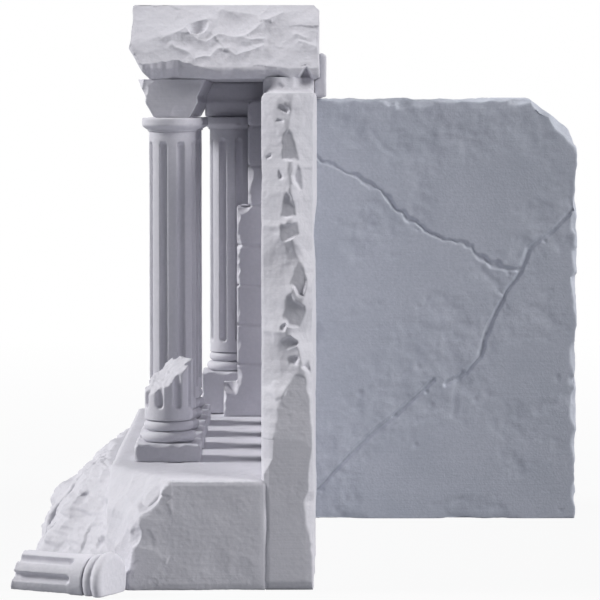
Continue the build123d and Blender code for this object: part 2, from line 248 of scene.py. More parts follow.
class Stone:
    """The points of a skin, in millimetres, cut and worn as stone is."""

    def __init__(self, bm, seed=1):
        self.bm = bm
        self.random = random.Random(seed)
        self.seed = seed
        self.points = np.array([v.co for v in bm.verts], dtype=float)

    def store(self):
        """Writes the points back to the skin."""
        for vert, point in zip(self.bm.verts, self.points.tolist()):
            vert.co = point
        self.bm.normal_update()

    def normals(self):
        """The skin's normals as it now stands."""
        self.store()
        return np.array([v.normal for v in self.bm.verts], dtype=float)

    def flatten(self, point, normal):
        """Cuts a flat facet: what lies past the plane is moved onto it."""
        way = np.array(Vector(normal).normalized())
        past = np.maximum((self.points - np.array(point)) @ way, 0)
        self.points -= past[:, None] * way

    def scoop(self, point, way, rim, depth):
        """Strikes out a shallow dish at a point of the surface that faces a given way."""
        way = np.array(Vector(way).normalized())
        radius = (rim * rim + depth * depth) / (2 * depth)
        centre = np.array(point) + way * (radius - depth)
        rel = self.points - centre
        height = rel @ way
        across = np.linalg.norm(rel - height[:, None] * way, axis=1)
        inside = (across < radius) & (height < 0)
        floor = -np.sqrt(np.maximum(radius * radius - across * across, 0))
        move = np.where(inside & (height > floor), floor - height, 0)
        move = np.where(across < 1.6 * rim, move, 0)
        self.points += move[:, None] * way

    def strike(self, spot, way, rims, depths, tilt):
        """Strikes out one dish of a random size, which leans at random from the way it faces."""
        lean = Vector([self.random.uniform(-tilt, tilt) for _ in range(3)])
        rim = self.random.uniform(*rims)
        self.scoop(spot, Vector(way).normalized() + lean, rim, self.random.uniform(*depths))

    def hew(self, pick, way, count, rims, depths, tilt=0.25):
        """Strikes many dishes into the points that a test picks, all roughly facing one way."""
        places = self.points[pick(self.points)]
        if not len(places):
            raise ValueError("nothing to hew here")
        for _ in range(count):
            spot = places[self.random.randrange(len(places))]
            self.strike(spot, way, rims, depths, tilt)

    def chip_edge(self, start, end, way, count, rims, depths):
        """Knocks chips off along a straight edge."""
        for _ in range(count):
            spot = Vector(start).lerp(Vector(end), self.random.random())
            self.strike(spot, way, rims, depths, 0.35)

    def swell(self, size, height, octaves=3, stretch=(1, 1, 1), where=None):
        """Moves the surface in and out along its normals by smooth noise."""
        normals = self.normals()
        amount = waves(self.points * np.array(stretch), size, octaves, self.seed) * height
        if where is not None:
            amount *= where(self.points)
        self.points += normals * amount[:, None]

    def knap(self, size, height, where=None, stretch=(1, 1, 1), lean=0.6):
        """Works the surface into facets that meet in ridges, in and out along its normals."""
        picked = np.arange(len(self.points)) if where is None else np.flatnonzero(where(self.points))
        normals = self.normals()[picked]
        spots = self.points[picked] * np.array(stretch)
        warp = np.stack([waves(spots, size * 1.5, 2, self.seed + k) for k in range(3)], axis=1)
        amount = hammered(spots + warp * size * 0.35, size, self.seed, lean) * height
        self.points[picked] += normals * amount[:, None]

    def soften(self, where, times):
        """Rounds the sharpest edges of the points that a test picks."""
        self.store()
        self.bm.verts.ensure_lookup_table()
        picked = [self.bm.verts[int(i)] for i in np.flatnonzero(where(self.points))]
        for _ in range(times):
            bmesh.ops.smooth_vert(
                self.bm,
                verts=picked,
                factor=0.5,
                use_axis_x=True,
                use_axis_y=True,
                use_axis_z=True,
            )
        self.points = np.array([v.co for v in self.bm.verts], dtype=float)

    def crease(self, axes, lines, width, height, facing):
        """Raises sharp ridges along lines of 2-D points, with hollows falling away on both sides."""
        normals = self.normals()
        flat = self.points[:, list(axes)] + (waves(self.points, 4.0, 2, self.seed + 9.0) * 0.5)[:, None]
        gap = np.full(len(flat), 1e9)
        for line in lines:
            for start, end in zip(line, line[1:]):
                gap = np.minimum(gap, segment_distance(flat, np.array(start), np.array(end)))
        seen = np.clip(normals @ np.array(Vector(facing).normalized()) * 2, 0, 1)
        rise = height * np.exp(-gap / width) * seen
        self.points += rise[:, None] * np.array(Vector(facing).normalized())

    def level(self, outline, slack=0.5, slope=0.0, start=None):
        """Levels a patch of the near end: inside an outline of (x, z) points, it faces straight out.

        It lies as deep as most of what it replaces, or starts at a given (y, z) and falls back by its slope.
        """
        corners = np.array(outline, dtype=float)
        flat = self.points[:, [0, 2]] + (waves(self.points, 2.5, 2, self.seed + 4.0) * 0.25)[:, None]
        inside = np.zeros(len(flat), dtype=bool)
        gap = np.full(len(flat), 1e9)
        for here, after in zip(corners, np.roll(corners, -1, axis=0)):
            gap = np.minimum(gap, segment_distance(flat, here, after))
            rise = after[1] - here[1]
            if abs(rise) < 1e-9:
                continue
            spans = (here[1] > flat[:, 1]) != (after[1] > flat[:, 1])
            inside ^= spans & (flat[:, 0] < here[0] + (flat[:, 1] - here[1]) / rise * (after[0] - here[0]))
        inside &= self.points[:, 1] < NEAR_Y + 14
        if not inside.any():
            raise ValueError("the patch misses the stone")
        if start is None:
            start = (np.quantile(self.points[inside, 1], 0.55) + slack, self.points[inside, 2].mean())
        floor = start[0] + slope * (self.points[:, 2] - start[1])
        cut_in = np.maximum(floor - self.points[:, 1], 0) * np.clip(gap / 0.5, 0, 1) * inside
        self.points[:, 1] += cut_in

    def groove(self, axes, line, width, depth, facing, wander=0.0, lip=0.0):
        """Cuts a crack along a line of 2-D points into the faces that look one way."""
        normals = self.normals()
        flat = self.points[:, list(axes)]
        if wander:
            drift = waves(self.points, 5.0, 2, self.seed + 5.0) * wander
            flat = flat + drift[:, None]
        gap = np.full(len(flat), 1e9)
        for start, end in zip(line, line[1:]):
            gap = np.minimum(gap, segment_distance(flat, np.array(start), np.array(end)))
        seen = np.clip(normals @ np.array(facing), 0, 1) > 0.5
        drop = depth * np.clip(1 - gap / width, 0, 1) - lip * np.exp(-(((gap - 1.5 * width) / width) ** 2))
        self.points -= (drop * seen)[:, None] * np.array(facing)

    def joint(self, axis, place, width, depth, facing, start=-1e3):
        """Cuts a straight masonry joint where one coordinate has a given value, fading in from a start."""
        normals = self.normals()
        gap = np.abs(self.points[:, axis] - place)
        seen = (normals @ np.array(facing)) > 0.4
        shown = np.clip((self.points[:, 1] - start) / 8.0, 0, 1)
        drop = depth * np.clip(1 - gap / width, 0, 1) * seen * shown
        self.points -= drop[:, None] * np.array(facing)

    def keep_within(self, low, high):
        """Keeps the points inside a box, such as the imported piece's own."""
        self.points = np.clip(self.points, np.array(low), np.array(high))


# The printed plastic.
def linked(tree, node_type, inputs=None, **settings):
    """Adds a shader node, sets it up and wires its inputs."""
    node = tree.nodes.new(node_type)
    for key, value in settings.items():
        setattr(node, key, value)
    for key, value in (inputs or {}).items():
        if isinstance(value, bpy.types.NodeSocket):
            tree.links.new(value, node.inputs[key])
        else:
            node.inputs[key].default_value = value
    return node


def printed_stone(name, mottle, layer_bump, grain_bump, painted_shade_tint=(1, 1, 1)):
    """Matt printed plastic: soft mottling, fine grain and level layer lines, with an optional tint that
    paints shade into its colours.
    """
    if name in bpy.data.materials:
        return bpy.data.materials[name]
    finish = bpy.context.scene.ruin_finish
    material = bpy.data.materials.new(name)
    material.use_nodes = True
    tree = material.node_tree
    tree.nodes.clear()
    position = linked(tree, "ShaderNodeTexCoord").outputs["Object"]

    patches = linked(
        tree,
        "ShaderNodeTexNoise",
        {"Vector": position, "Scale": 70.0, "Detail": 4.0, "Roughness": 0.6},
    )
    specks = linked(tree, "ShaderNodeTexNoise", {"Vector": position, "Scale": 900.0, "Detail": 2.0})
    blend = linked(
        tree,
        "ShaderNodeMath",
        {0: patches.outputs["Fac"], 1: specks.outputs["Fac"]},
        operation="MULTIPLY_ADD",
    )
    blend.inputs[2].default_value = 0.25
    ramp = linked(tree, "ShaderNodeValToRGB", {"Fac": blend.outputs[0]})
    ramp.color_ramp.elements[0].position = 0.5 - mottle
    # Both colours are multiplied by a tint that paints shade: below one, the piece looks darker and cooler,
    # as if less lit.
    ramp.color_ramp.elements[0].color = (*[a * b for a, b in zip(finish.shade, painted_shade_tint)], 1)
    ramp.color_ramp.elements[1].position = 0.5 + mottle
    ramp.color_ramp.elements[1].color = (*[a * b for a, b in zip(finish.pale, painted_shade_tint)], 1)

    # Layer lines: noise drawn out level, so that each layer wavers a little.
    stretched = linked(tree, "ShaderNodeMapping", {"Vector": position, "Scale": (25.0, 25.0, 1500.0)})
    layers = linked(tree, "ShaderNodeTexNoise", {"Vector": stretched.outputs[0], "Scale": 1.0, "Detail": 3.0})
    grain = linked(tree, "ShaderNodeTexNoise", {"Vector": position, "Scale": 1400.0, "Detail": 3.0})
    grain_relief = linked(
        tree,
        "ShaderNodeBump",
        {"Height": grain.outputs["Fac"], "Strength": grain_bump, "Distance": 0.0002},
    )
    layer_relief = linked(
        tree,
        "ShaderNodeBump",
        {
            "Height": layers.outputs["Fac"],
            "Strength": layer_bump,
            "Distance": 0.0002,
            "Normal": grain_relief.outputs["Normal"],
        },
    )
    sheen = linked(
        tree,
        "ShaderNodeMapRange",
        {"Value": patches.outputs["Fac"], "To Min": 0.52, "To Max": 0.72},
    )
    shader = linked(
        tree,
        "ShaderNodeBsdfPrincipled",
        {
            "Base Color": ramp.outputs["Color"],
            "Roughness": sheen.outputs[0],
            "Normal": layer_relief.outputs["Normal"],
            "Specular IOR Level": 0.3,
        },
    )
    linked(tree, "ShaderNodeOutputMaterial", {"Surface": shader.outputs["BSDF"]})
    return material


def rough_stone():
    """The finish of rock, walls and the podium."""
    return printed_stone("rock_print", 0.22, 0.24, 0.32)


def dressed_stone():
    """The finish of columns and beams, where layers show more than grain."""
    return printed_stone("column_print", 0.26, 0.45, 0.18)


def slab_stone_painted_shade():
    """The side slab's printed plastic, its colours painted a little cooler and darker as shade."""
    return printed_stone("slab_print_painted_shade", 0.11, 0.18, 0.38, painted_shade_tint=(0.82, 0.87, 0.91))


def finish_piece(stone, name, material, *nodes):
    """Writes a sculpted skin as a piece, in metres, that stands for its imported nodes."""
    stone.store()
    bm = stone.bm
    bmesh.ops.scale(bm, vec=(MM, MM, MM), verts=bm.verts)
    mesh = bpy.data.meshes.new(name)
    bm.to_mesh(mesh)
    bm.free()
    mesh.polygons.foreach_set("use_smooth", [True] * len(mesh.polygons))
    mesh.materials.append(material)
    piece = bpy.data.objects.new(name, mesh)
    bpy.context.scene.collection.objects.link(piece)
    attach(piece, "root")
    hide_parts(*nodes)
    return piece


# Podium and rubble.
def make_podium():
    """Floor block: worn faces, a rough floor and a corner broken off in facets."""
    sizes = bpy.context.scene.ruin_sizes
    bm = bmesh.new()
    block(bm, PODIUM_LOW + Vector((0, 0.15, 0)), PODIUM_HIGH + Vector((1.6, 0, 0)))
    corner = Vector((3.6, NEAR_Y, FLOOR_Z))
    ledge = Vector((-6.6, NEAR_Y, 22.5))
    foot = Vector((-11.1, NEAR_Y, 0))
    along = Vector((-21.7, 45, 0))
    cut(bm, corner, along.cross(ledge - corner))
    cut(bm, ledge, along.cross(foot - ledge))
    bm = even_skin(bm, 1.3)
    refine(bm, lambda p: p.y < NEAR_Y + 26 and p.x < 29)
    refine(bm, lambda p: p.y < NEAR_Y + 5 and p.x < 29)
    stone = Stone(bm, seed=11)
    # The broken corner is worked into facets, with a hollow under its ledge.
    broken_way = along.cross(foot - corner).normalized()

    def on_break(p):
        side = (p - np.array(corner)) @ np.array(broken_way)
        return (side > -7.5) & (p[:, 1] < NEAR_Y + 47) & (p[:, 0] < 3.0) & (p[:, 2] < FLOOR_Z - 0.2)

    stone.scoop((-8.5, NEAR_Y + 1, 17.5), (-0.75, -0.65, 0), 4.2, 1.6)
    stone.scoop((-4.0, NEAR_Y + 3, 26.5), (-0.6, -0.3, 0.7), 5.0, 1.1)
    stone.knap(9.0, 1.1, where=on_break, lean=0.4)
    stone.knap(3.4, 0.22, where=on_break)
    # Soft worn edge of the floor, and a few knocks in the near face.
    stone.chip_edge((4, NEAR_Y, FLOOR_Z), (29, NEAR_Y, FLOOR_Z), (0, -0.7, 0.7), 9, (1.0, 2.2), (0.1, 0.3))
    stone.scoop((16, NEAR_Y, 8.5), NEAR, 6.0, 0.35)
    stone.scoop((24, NEAR_Y, 6.5), NEAR, 5.0, 0.30)
    stone.scoop((3, NEAR_Y, 17.0), NEAR, 7.0, 0.35)
    stone.scoop((20, NEAR_Y, 24.0), NEAR, 6.0, 0.30)

    def floor_only(p):
        return np.clip((p[:, 2] - FLOOR_Z + 1.0), 0, 1)

    stone.swell(16.0, sizes.wear)
    stone.swell(2.2, 0.25, 3, where=floor_only)
    stone.swell(1.3, sizes.grain * 1.3, 2)
    stone.keep_within(PODIUM_LOW, PODIUM_HIGH + Vector((1.6, 0, 0.05)))
    finish_piece(stone, "podium_stone", rough_stone(), "podium")


# How far the rock reaches out from the floor's front edge: rows go up, columns go along.
NEAR_ROCK = (
    (0.0, 9.0, 17.0, 25.0, 32.0),
    (4.0, 9.0, 20.0, 32.0, 46.0, 60.0, 72.0),
    (
        (6.5, 2.4, -3.0, -9.0, -16.5, -23.5, -26.0),
        (8.5, 4.4, -0.8, -5.8, -14.0, -20.5, -24.0),
        (10.0, 6.4, 1.2, -1.6, -8.5, -16.0, -20.5),
        (13.5, 10.4, 4.8, 1.0, -3.0, -9.0, -14.0),
        (20.0, 17.4, 11.6, 5.4, 0.8, -1.0, -2.0),
    ),
)
FAR_ROCK = (
    (0.0, 8.0, 15.0, 21.0, 27.0, 32.0),
    (72.0, 92.0, 116.0, 144.0, 168.0, 192.0, 203.0),
    (
        (-26.0, -24.5, -26.0, -21.0, -23.0, -17.0, 0.0),
        (-24.0, -23.0, -24.0, -19.5, -20.0, -13.0, 2.0),
        (-20.5, -19.5, -21.0, -16.0, -16.5, -10.0, 4.0),
        (-16.0, -15.0, -16.0, -11.5, -11.5, -7.0, 5.0),
        (-11.0, -10.0, -11.0, -7.5, -7.0, -2.0, 5.0),
        (-2.0, -2.0, -3.0, -1.0, -1.0, 3.0, 5.0),
    ),
)


def reach_at(points, table):
    """How far out the rock stands at each point, read between the rows and columns of a table."""
    heights, places, rows = table
    along = [np.interp(points[:, 1] - NEAR_Y, places, row) for row in rows]
    out = np.zeros(len(points))
    z = np.clip(points[:, 2], heights[0], heights[-1])
    for (low, high), (row_a, row_b) in zip(zip(heights, heights[1:]), zip(along, along[1:])):
        part = (z - low) / (high - low)
        here = (part >= 0) & (part <= 1)
        out[here] = (row_a + (row_b - row_a) * part)[here]
    return FLOOR_FRONT_X + out


def make_rubble():
    """Front rubble, in two pieces that lean on the podium: bulging beds with fine level strata."""
    for node, inner, near, far, table, cell, seed in (
        ("front_rubble_near", FLOOR_FRONT_X + 24, NEAR_Y + 4, NEAR_Y + 73, NEAR_ROCK, 0.6, 21),
        ("front_rubble_far", FLOOR_FRONT_X + 6, NEAR_Y + 72, NEAR_Y + 203, FAR_ROCK, 0.75, 22),
    ):
        low, high = span(node)
        bm = bmesh.new()
        block(bm, (FLOOR_FRONT_X - 27, near, 0), (inner, far, 32))
        rough = Stone(even_skin(bm, 1.6), seed=seed)
        ledges = waves(rough.points * np.array((0.3, 0.3, 1)), 7.0, 2, seed) * 1.5
        bulges = waves(rough.points, 19.0, 3, seed + 2) * 2.6
        outer_part = np.clip((rough.points[:, 1] - NEAR_Y - 14) / 22, 0.15, 1)
        face = reach_at(rough.points, table) + (ledges + bulges) * outer_part + 0.3
        face = np.minimum(face, inner - 0.6)
        face = np.maximum(face, low.x)
        rough.points[:, 0] = np.maximum(rough.points[:, 0], face)
        rough.store()
        stone = Stone(even_skin(rough.bm, cell, soften=4), seed=seed)

        def open_face(p):
            return (p[:, 0] < inner - 2) & (p[:, 2] > 0.6) & (p[:, 2] < 31)

        stone.knap(13.0, 1.5, where=open_face)
        stone.knap(4.5, 0.55, where=open_face, stretch=(0.7, 0.7, 1.5))
        stone.hew(
            lambda p: open_face(p) & (p[:, 2] > 4),
            (-0.9, -0.3, 0.3),
            9,
            (1.2, 2.6),
            (0.8, 1.8),
            tilt=0.5,
        )
        stone.swell(2.2, 0.42, 3, stretch=(0.25, 0.25, 1.6), where=open_face)
        stone.swell(1.2, 0.07, 2)
        stone.keep_within((low.x, near, 0), (inner, far, high.z))
        finish_piece(stone, node + "_rock", rough_stone(), node)


# Walls.
# Widths of the flanks of the wall's broken end, at heights over the ground.
INNER_FLANK = (
    (33, 35, 40, 49, 55, 60, 66, 73, 78, 90, 100, 110, 120, 130, 140, 150),
    (0.0, 0.5, 3.4, 4.2, 4.0, 5.4, 7.6, 7.2, 5.0, 6.2, 8.4, 4.6, 5.8, 5.2, 5.8, 6.4),
)
OUTER_FLANK = (
    (0, 14, 20, 27, 30, 42, 58, 65, 70, 78, 85, 95, 105, 115, 125, 135, 145, 150),
    (1.1, 1.8, 3.8, 4.3, 2.8, 1.9, 1.5, 2.2, 3.2, 5.2, 2.6, 3.2, 5.2, 5.4, 4.4, 5.6, 6.4, 6.0),
)
# Level patches on the broken end: distance from the wall's porch face, and height.
LEVEL_PATCHES = (
    ((3.6, 144.9), (4.8, 146.7), (6.9, 147.0), (9.0, 145.2), (8.2, 143.8), (5.5, 144.6)),
    ((3.9, 141.3), (5.1, 142.6), (6.9, 142.2), (6.6, 141.2)),
    ((8.1, 139.2), (9.6, 137.7), (10.8, 132.9), (12.0, 131.1), (11.4, 129.6), (5.4, 129.9), (6.3, 137.4)),
    ((1.2, 131.1), (3.3, 132.0), (3.0, 130.5), (1.5, 129.6)),
    ((4.8, 127.8), (6.0, 126.9), (6.9, 124.5), (5.4, 123.9)),
    ((11.1, 129.0), (12.6, 126.9), (13.2, 119.7), (11.7, 120.9), (9.6, 123.3), (9.5, 125.4)),
    ((7.8, 120.6), (9.3, 119.1), (10.8, 113.1), (7.5, 112.2), (4.2, 113.1), (5.7, 116.4)),
    ((4.8, 111.3), (7.5, 110.7), (11.1, 111.6), (11.7, 107.4), (8.7, 105.9), (6.0, 104.7), (4.2, 105.9)),
    ((11.4, 102.3), (12.6, 99.3), (13.9, 93.6), (12.9, 88.8), (10.8, 89.1), (8.7, 92.7), (9.6, 97.5)),
    (
        (3.9, 86.4), (6.6, 89.1), (9.3, 90.0), (10.5, 87.9),
        (13.2, 86.1), (15.0, 80.6), (11.7, 79.2), (8.1, 80.1),
    ),
    ((5.4, 80.1), (8.1, 81.3), (6.9, 78.3), (5.1, 78.3)),
    ((5.1, 72.9), (5.7, 75.6), (8.7, 77.1), (11.4, 75.0), (10.5, 74.1), (6.9, 72.0)),
    ((7.2, 70.8), (11.4, 70.8), (10.8, 68.1), (8.7, 68.1)),
    ((12.0, 67.5), (14.7, 70.5), (15.2, 65.4), (13.5, 66.6)),
    (
        (9.0, 68.1), (10.8, 65.7), (13.5, 64.8), (15.3, 60.3), (15.6, 46.0), (4.2, 46.0), (4.4, 50.5),
        (7.5, 51.9), (6.0, 55.5), (3.3, 54.3), (2.7, 56.4), (6.9, 59.4), (8.4, 63.9),
    ),
)


def make_back_wall():
    """Thick wall: ashlar towards the porch, rough rock outside, and a hewn near end."""
    sizes = bpy.context.scene.ruin_sizes
    bm = bmesh.new()
    edge_top = BEAM_TOP - 4.8
    block(bm, (WALL_X, NEAR_Y, 0), (WALL_OUTER_X, FAR_Y, edge_top))
    block(bm, (WALL_X, ROOF_NEAR_Y, edge_top - 5), (WALL_OUTER_X, FAR_Y, BEAM_TOP + 1.0))
    bm = even_skin(bm, 1.85)
    refine(bm, lambda p: p.y < NEAR_Y + 16)
    refine(bm, lambda p: p.y < NEAR_Y + 8)
    refine(bm, lambda p: p.y < NEAR_Y + 1.2 and p.z > 28)
    refine(bm, lambda p: ROOF_NEAR_Y - 1 < p.y < ROOF_NEAR_Y + 7 and p.z > edge_top - 2)
    refine(bm, lambda p: ROOF_NEAR_Y - 1 < p.y < ROOF_NEAR_Y + 4 and p.z > edge_top - 1)
    stone = Stone(bm, seed=31)
    # The broken end falls away to both sides of its middle; the flanks widen with height.
    hewn_from = 46
    thick = WALL_OUTER_X - WALL_X
    across = stone.points[:, 0] - WALL_X
    z = stone.points[:, 2]
    wave = waves(stone.points * np.array((0, 0, 1)), 9.0, 3, 3.0)
    left = np.interp(z, INNER_FLANK[0], INNER_FLANK[1]) + wave * 0.8 * (z > hewn_from)
    right = np.interp(z, OUTER_FLANK[0], OUTER_FLANK[1])
    right += waves(stone.points * np.array((0, 0, 1)), 8.0, 3, 8.0) * 0.7
    widen = np.interp(z, (50, 62), (1.0, 1.55))
    left = np.maximum(left * widen, 0.01)
    right = np.maximum(right * widen, 0.01)
    drop = np.minimum(0.88, 7.0 / left) * np.clip(left - across, 0, None)
    drop += np.minimum(0.95, 6.5 / right) * np.clip(right - (thick - across), 0, None)
    drop += np.interp(z, (0, 44, 110, edge_top), (0, 0, 1.0, 2.4))
    lumps = -hammered(stone.points * np.array((1, 1, 0.7)), 7.5, 4, lean=0.8)
    drop += (lumps - lumps.min()) * 0.9 * np.clip((z - hewn_from) / 14, 0, 1)
    small = hammered(stone.points, 3.2, 5)
    drop += (small - small.min()) * 0.20 * np.clip((z - hewn_from) / 8, 0, 1)
    in_reach = np.clip(1 - (stone.points[:, 1] - NEAR_Y) / 13.0, 0, 1)
    stone.points[:, 1] += drop * in_reach
    # The raised stretch under the roof falls away to both sides too.
    behind = stone.points[:, 1] - ROOF_NEAR_Y
    raised = (z > edge_top + 0.3) & (behind > -2) & (behind < 9)
    slant = 0.75 * np.clip(4.5 - across, 0, None) + 0.8 * np.clip(across - 10.0, 0, 5)
    slant *= np.clip(1 - behind / 9.0, 0, 1)
    stone.points[:, 1] += slant * raised

    def broken(p):
        return (p[:, 1] < NEAR_Y + 12) & (p[:, 2] > hewn_from + 1)

    stone.soften(broken, 4)
    for outline in LEVEL_PATCHES[:-1]:
        stone.level([(WALL_X + x, z) for x, z in outline], slack=0.8, slope=-0.04)
    lowest = [(WALL_X + x, z) for x, z in LEVEL_PATCHES[-1]]
    stone.level(lowest, slope=0.10, start=(NEAR_Y + 0.05, hewn_from))
    stone.soften(broken, 3)
    foot, head = (WALL_OUTER_X, NEAR_Y + 2, 12), (WALL_OUTER_X, NEAR_Y + 2, 34)
    stone.chip_edge(foot, head, (0.75, -0.65, 0), 9, (1.5, 3.5), (0.3, 0.8))
    inner, outer = (WALL_X + 2, NEAR_Y + 3, edge_top), (WALL_OUTER_X - 2, NEAR_Y + 3, edge_top)
    stone.chip_edge(inner, outer, UP, 4, (1.5, 3.0), (0.2, 0.5))
    # The raised stretch under the roof ends in a lump and a deep hole.
    stone.scoop((WALL_X + 13.6, ROOF_NEAR_Y + 4.0, BEAM_TOP - 0.6), (0, -1, 0.1), 2.6, 3.0)

    def lump_end(p):
        return (p[:, 1] < ROOF_NEAR_Y + 4) & (p[:, 1] > ROOF_NEAR_Y - 1) & (p[:, 2] > edge_top + 0.6)

    stone.knap(5.0, 1.1, where=lump_end, lean=0.9)
    # Rough rock on the outside, courses towards the porch.
    stone.hew(
        lambda p: (p[:, 0] > WALL_OUTER_X - 0.5) & (p[:, 1] < span("side_slab")[0].y - 3),
        RIGHT,
        150,
        (5.0, 16.0),
        (0.3, 1.1),
        tilt=0.10,
    )
    stone.hew(
        lambda p: (p[:, 0] > WALL_OUTER_X - 0.5) & (p[:, 1] > span("side_slab")[1].y + 3),
        RIGHT,
        50,
        (4.0, 12.0),
        (0.3, 1.0),
        tilt=0.10,
    )
    height = FLOOR_Z + sizes.course * 4 / 3
    while height < BEAM_TOP - 6:
        stone.joint(2, height, 1.3, 0.7, LEFT, start=NEAR_Y + 9)
        height += sizes.course
    stone.hew(lambda p: p[:, 1] > FAR_Y - 0.4, FAR, 40, (3.0, 7.0), (0.3, 0.9))
    stone.swell(18.0, sizes.wear)
    stone.swell(1.4, sizes.grain, 2)
    stone.keep_within((WALL_X, NEAR_Y, 0), (WALL_OUTER_X, FAR_Y, BEAM_TOP + 0.6))
    finish_piece(stone, "back_wall_stone", rough_stone(), "back_wall")


def make_side_slab():
    """Large slab of stone: long cracks, pits, and a chipped top and outer edge."""
    sizes = bpy.context.scene.ruin_sizes
    low, high = span("side_slab")
    low.x = WALL_OUTER_X
    face_y = low.y
    tall = high.z
    # Each point is a distance from the slab's inner edge and a drop from its top.
    cracks = (
        ((1, 21), (17, 28.7), (25, 32.8), (32, 41.9), (46, 50.5), (54, 51.9), (63.7, 58.9), (72.7, 60.5)),
        ((92, 39.5), (84.9, 46.9), (76.7, 52.9), (73.2, 62.1), (69.7, 67),
         (63.7, 78.2), (58.6, 92.4), (54.5, 97.4), (47.4, 101.3)),
        ((42.5, 100.3), (29.3, 112.5), (19.1, 120.6), (11, 128.7), (2, 138.8)),
    )
    lines = [[(low.x + x, tall - drop) for x, drop in crack] for crack in cracks]
    scratches = (
        ((52, tall - 98), (50, tall - 112)),
        ((60, tall - 60), (70, tall - 74)),
        ((20, tall - 12), (28, tall - 20)),
    )
    bm = bmesh.new()
    block(bm, low, high)
    cut(bm, (high.x - 3, face_y, tall - 10.5), (0.95, 0, 0.32))
    cut(bm, (high.x - 16, face_y, tall - 1.2), (0.60, 0, 0.80))
    bm = even_skin(bm, 1.35)
    refine(bm, lambda p: p.y < face_y + 1.6)

    flat_lines = [[Vector(point) for point in line] for line in lines]

    def near_crack(p):
        if p.y > face_y + 1.0:
            return False
        here = Vector((p.x, p.z))
        for line in flat_lines:
            for start, end in zip(line, line[1:]):
                run = end - start
                part = min(max((here - start).dot(run) / run.length_squared, 0), 1)
                if (here - start - run * part).length < 2.6:
                    return True
        return False

    refine(bm, near_crack)
    stone = Stone(bm, seed=41)
    # The outer edge weathers back in a long wave, with flat chips.
    for y, out in ((face_y, -1), (high.y, 1)):
        foot, head = (high.x, y, 4), (high.x, y, tall - 16)
        stone.chip_edge(foot, head, (0.75, out * 0.65, 0), 26, (3, 8), (0.4, 1.3))
    for y, out in ((face_y, -1), (high.y, 1)):
        inner, outer = (low.x + 3, y, tall), (high.x - 14, y, tall)
        stone.chip_edge(inner, outer, (0, out * 0.6, 0.8), 24, (3, 8), (0.4, 1.2))
    outer, inner = (high.x, face_y, tall - 18), (high.x - 15, face_y, tall)
    stone.chip_edge(outer, inner, (0.6, -0.4, 0.7), 12, (3, 7), (0.5, 1.4))
    stone.hew(lambda p: p[:, 0] > high.x - 0.4, RIGHT, 40, (3, 7), (0.3, 0.9), tilt=0.15)
    stone.hew(lambda p: p[:, 2] > tall - 0.4, UP, 40, (3, 7), (0.3, 0.9), tilt=0.15)

    def faces(p):
        return (p[:, 1] < face_y + 1.6) | (p[:, 1] > high.y - 1.6)

    def near_face(p):
        return p[:, 1] < face_y + 1.6

    stone.swell(30.0, 0.9, 2, where=faces)
    stone.knap(21.0, 0.55, where=faces, lean=0.35)
    stone.knap(7.5, 0.26, where=near_face, stretch=(0.8, 1, 1.1), lean=0.45)
    stone.hew(
        lambda p: near_face(p) & (p[:, 2] < tall * 0.75), NEAR, 46, (0.6, 1.4), (0.15, 0.4), tilt=0.1
    )
    for line in lines:
        stone.groove((0, 2), line, sizes.crack_width, sizes.crack_depth, NEAR, wander=1.1, lip=0.07)
    for line in scratches:
        shifted = [(low.x + x, z) for x, z in line]
        stone.groove((0, 2), shifted, 1.4, 0.28, NEAR, wander=0.9)
    for x, z in ((high.x - 10.5, 3.6), (high.x - 5.4, 3.2)):
        stone.scoop((x, face_y, z), NEAR, 0.9, 0.6)
    stone.swell(6.0, 0.30, 3)
    stone.swell(1.6, sizes.grain, 2)
    stone.keep_within(low, high)
    # The slab's colour has painted shade: a darker, cooler copy of the same plastic.
    finish_piece(stone, "side_slab_stone", slab_stone_painted_shade(), "side_slab")


def make_cross_wall():
    """Ashlar stub with a stepped, snapped edge."""
    sizes = bpy.context.scene.ruin_sizes
    low, high = span("cross_wall")
    bm = bmesh.new()
    # How far each step reaches out from the wall, and its foot and top over the floor.
    steps = ((15.1, 0, 12.4), (10.1, 12.4, 76.8), (6.1, 76.8, high.z - FLOOR_Z))
    for reach, _, top in steps:
        block(bm, (WALL_X - reach, low.y, FLOOR_Z), (WALL_X, high.y, FLOOR_Z + top))
    stone = Stone(even_skin(bm, 0.45), seed=51)
    for reach, base, top in steps:
        edge = WALL_X - reach
        count = max(3, int((top - base) / 3.5))
        for y, out in ((low.y, -1), (high.y, 1)):
            foot, head = (edge, y, FLOOR_Z + base), (edge, y, FLOOR_Z + top)
            stone.chip_edge(foot, head, (-0.7, out * 0.7, 0.1), count, (1.2, 3.2), (0.3, 1.0))
        stone.scoop((edge, low.y, FLOOR_Z + top), (-0.5, -0.4, 0.8), 2.6, 1.0)
    height = FLOOR_Z + sizes.course * 4 / 3
    while height < high.z:
        stone.joint(2, height, 0.7, 0.7, NEAR)
        stone.joint(2, height, 0.7, 0.7, FAR)
        stone.joint(2, height, 0.7, 0.6, LEFT)
        height += sizes.course
    stone.swell(6.0, 0.18, 2)
    stone.swell(1.2, sizes.grain, 2)
    stone.keep_within((low.x, low.y, FLOOR_Z), high)
    finish_piece(stone, "cross_wall_stone", rough_stone(), "cross_wall")


# Columns.
def turned(profile, foot):
    """Turns a half section, given as (radius, height), round an upright axis at a foot point."""
    bm = bmesh.new()
    line = [bm.verts.new((foot[0] + radius, foot[1], foot[2] + height)) for radius, height in profile]
    for start, end in zip(line, line[1:]):
        bm.edges.new((start, end))
    bmesh.ops.spin(
        bm,
        geom=bm.verts[:] + bm.edges[:],
        cent=foot,
        axis=(0, 0, 1),
        angle=math.tau,
        steps=96,
        use_merge=True,
    )
    bmesh.ops.remove_doubles(bm, verts=bm.verts, dist=1e-4)
    bmesh.ops.recalc_face_normals(bm, faces=bm.faces)
    return bm


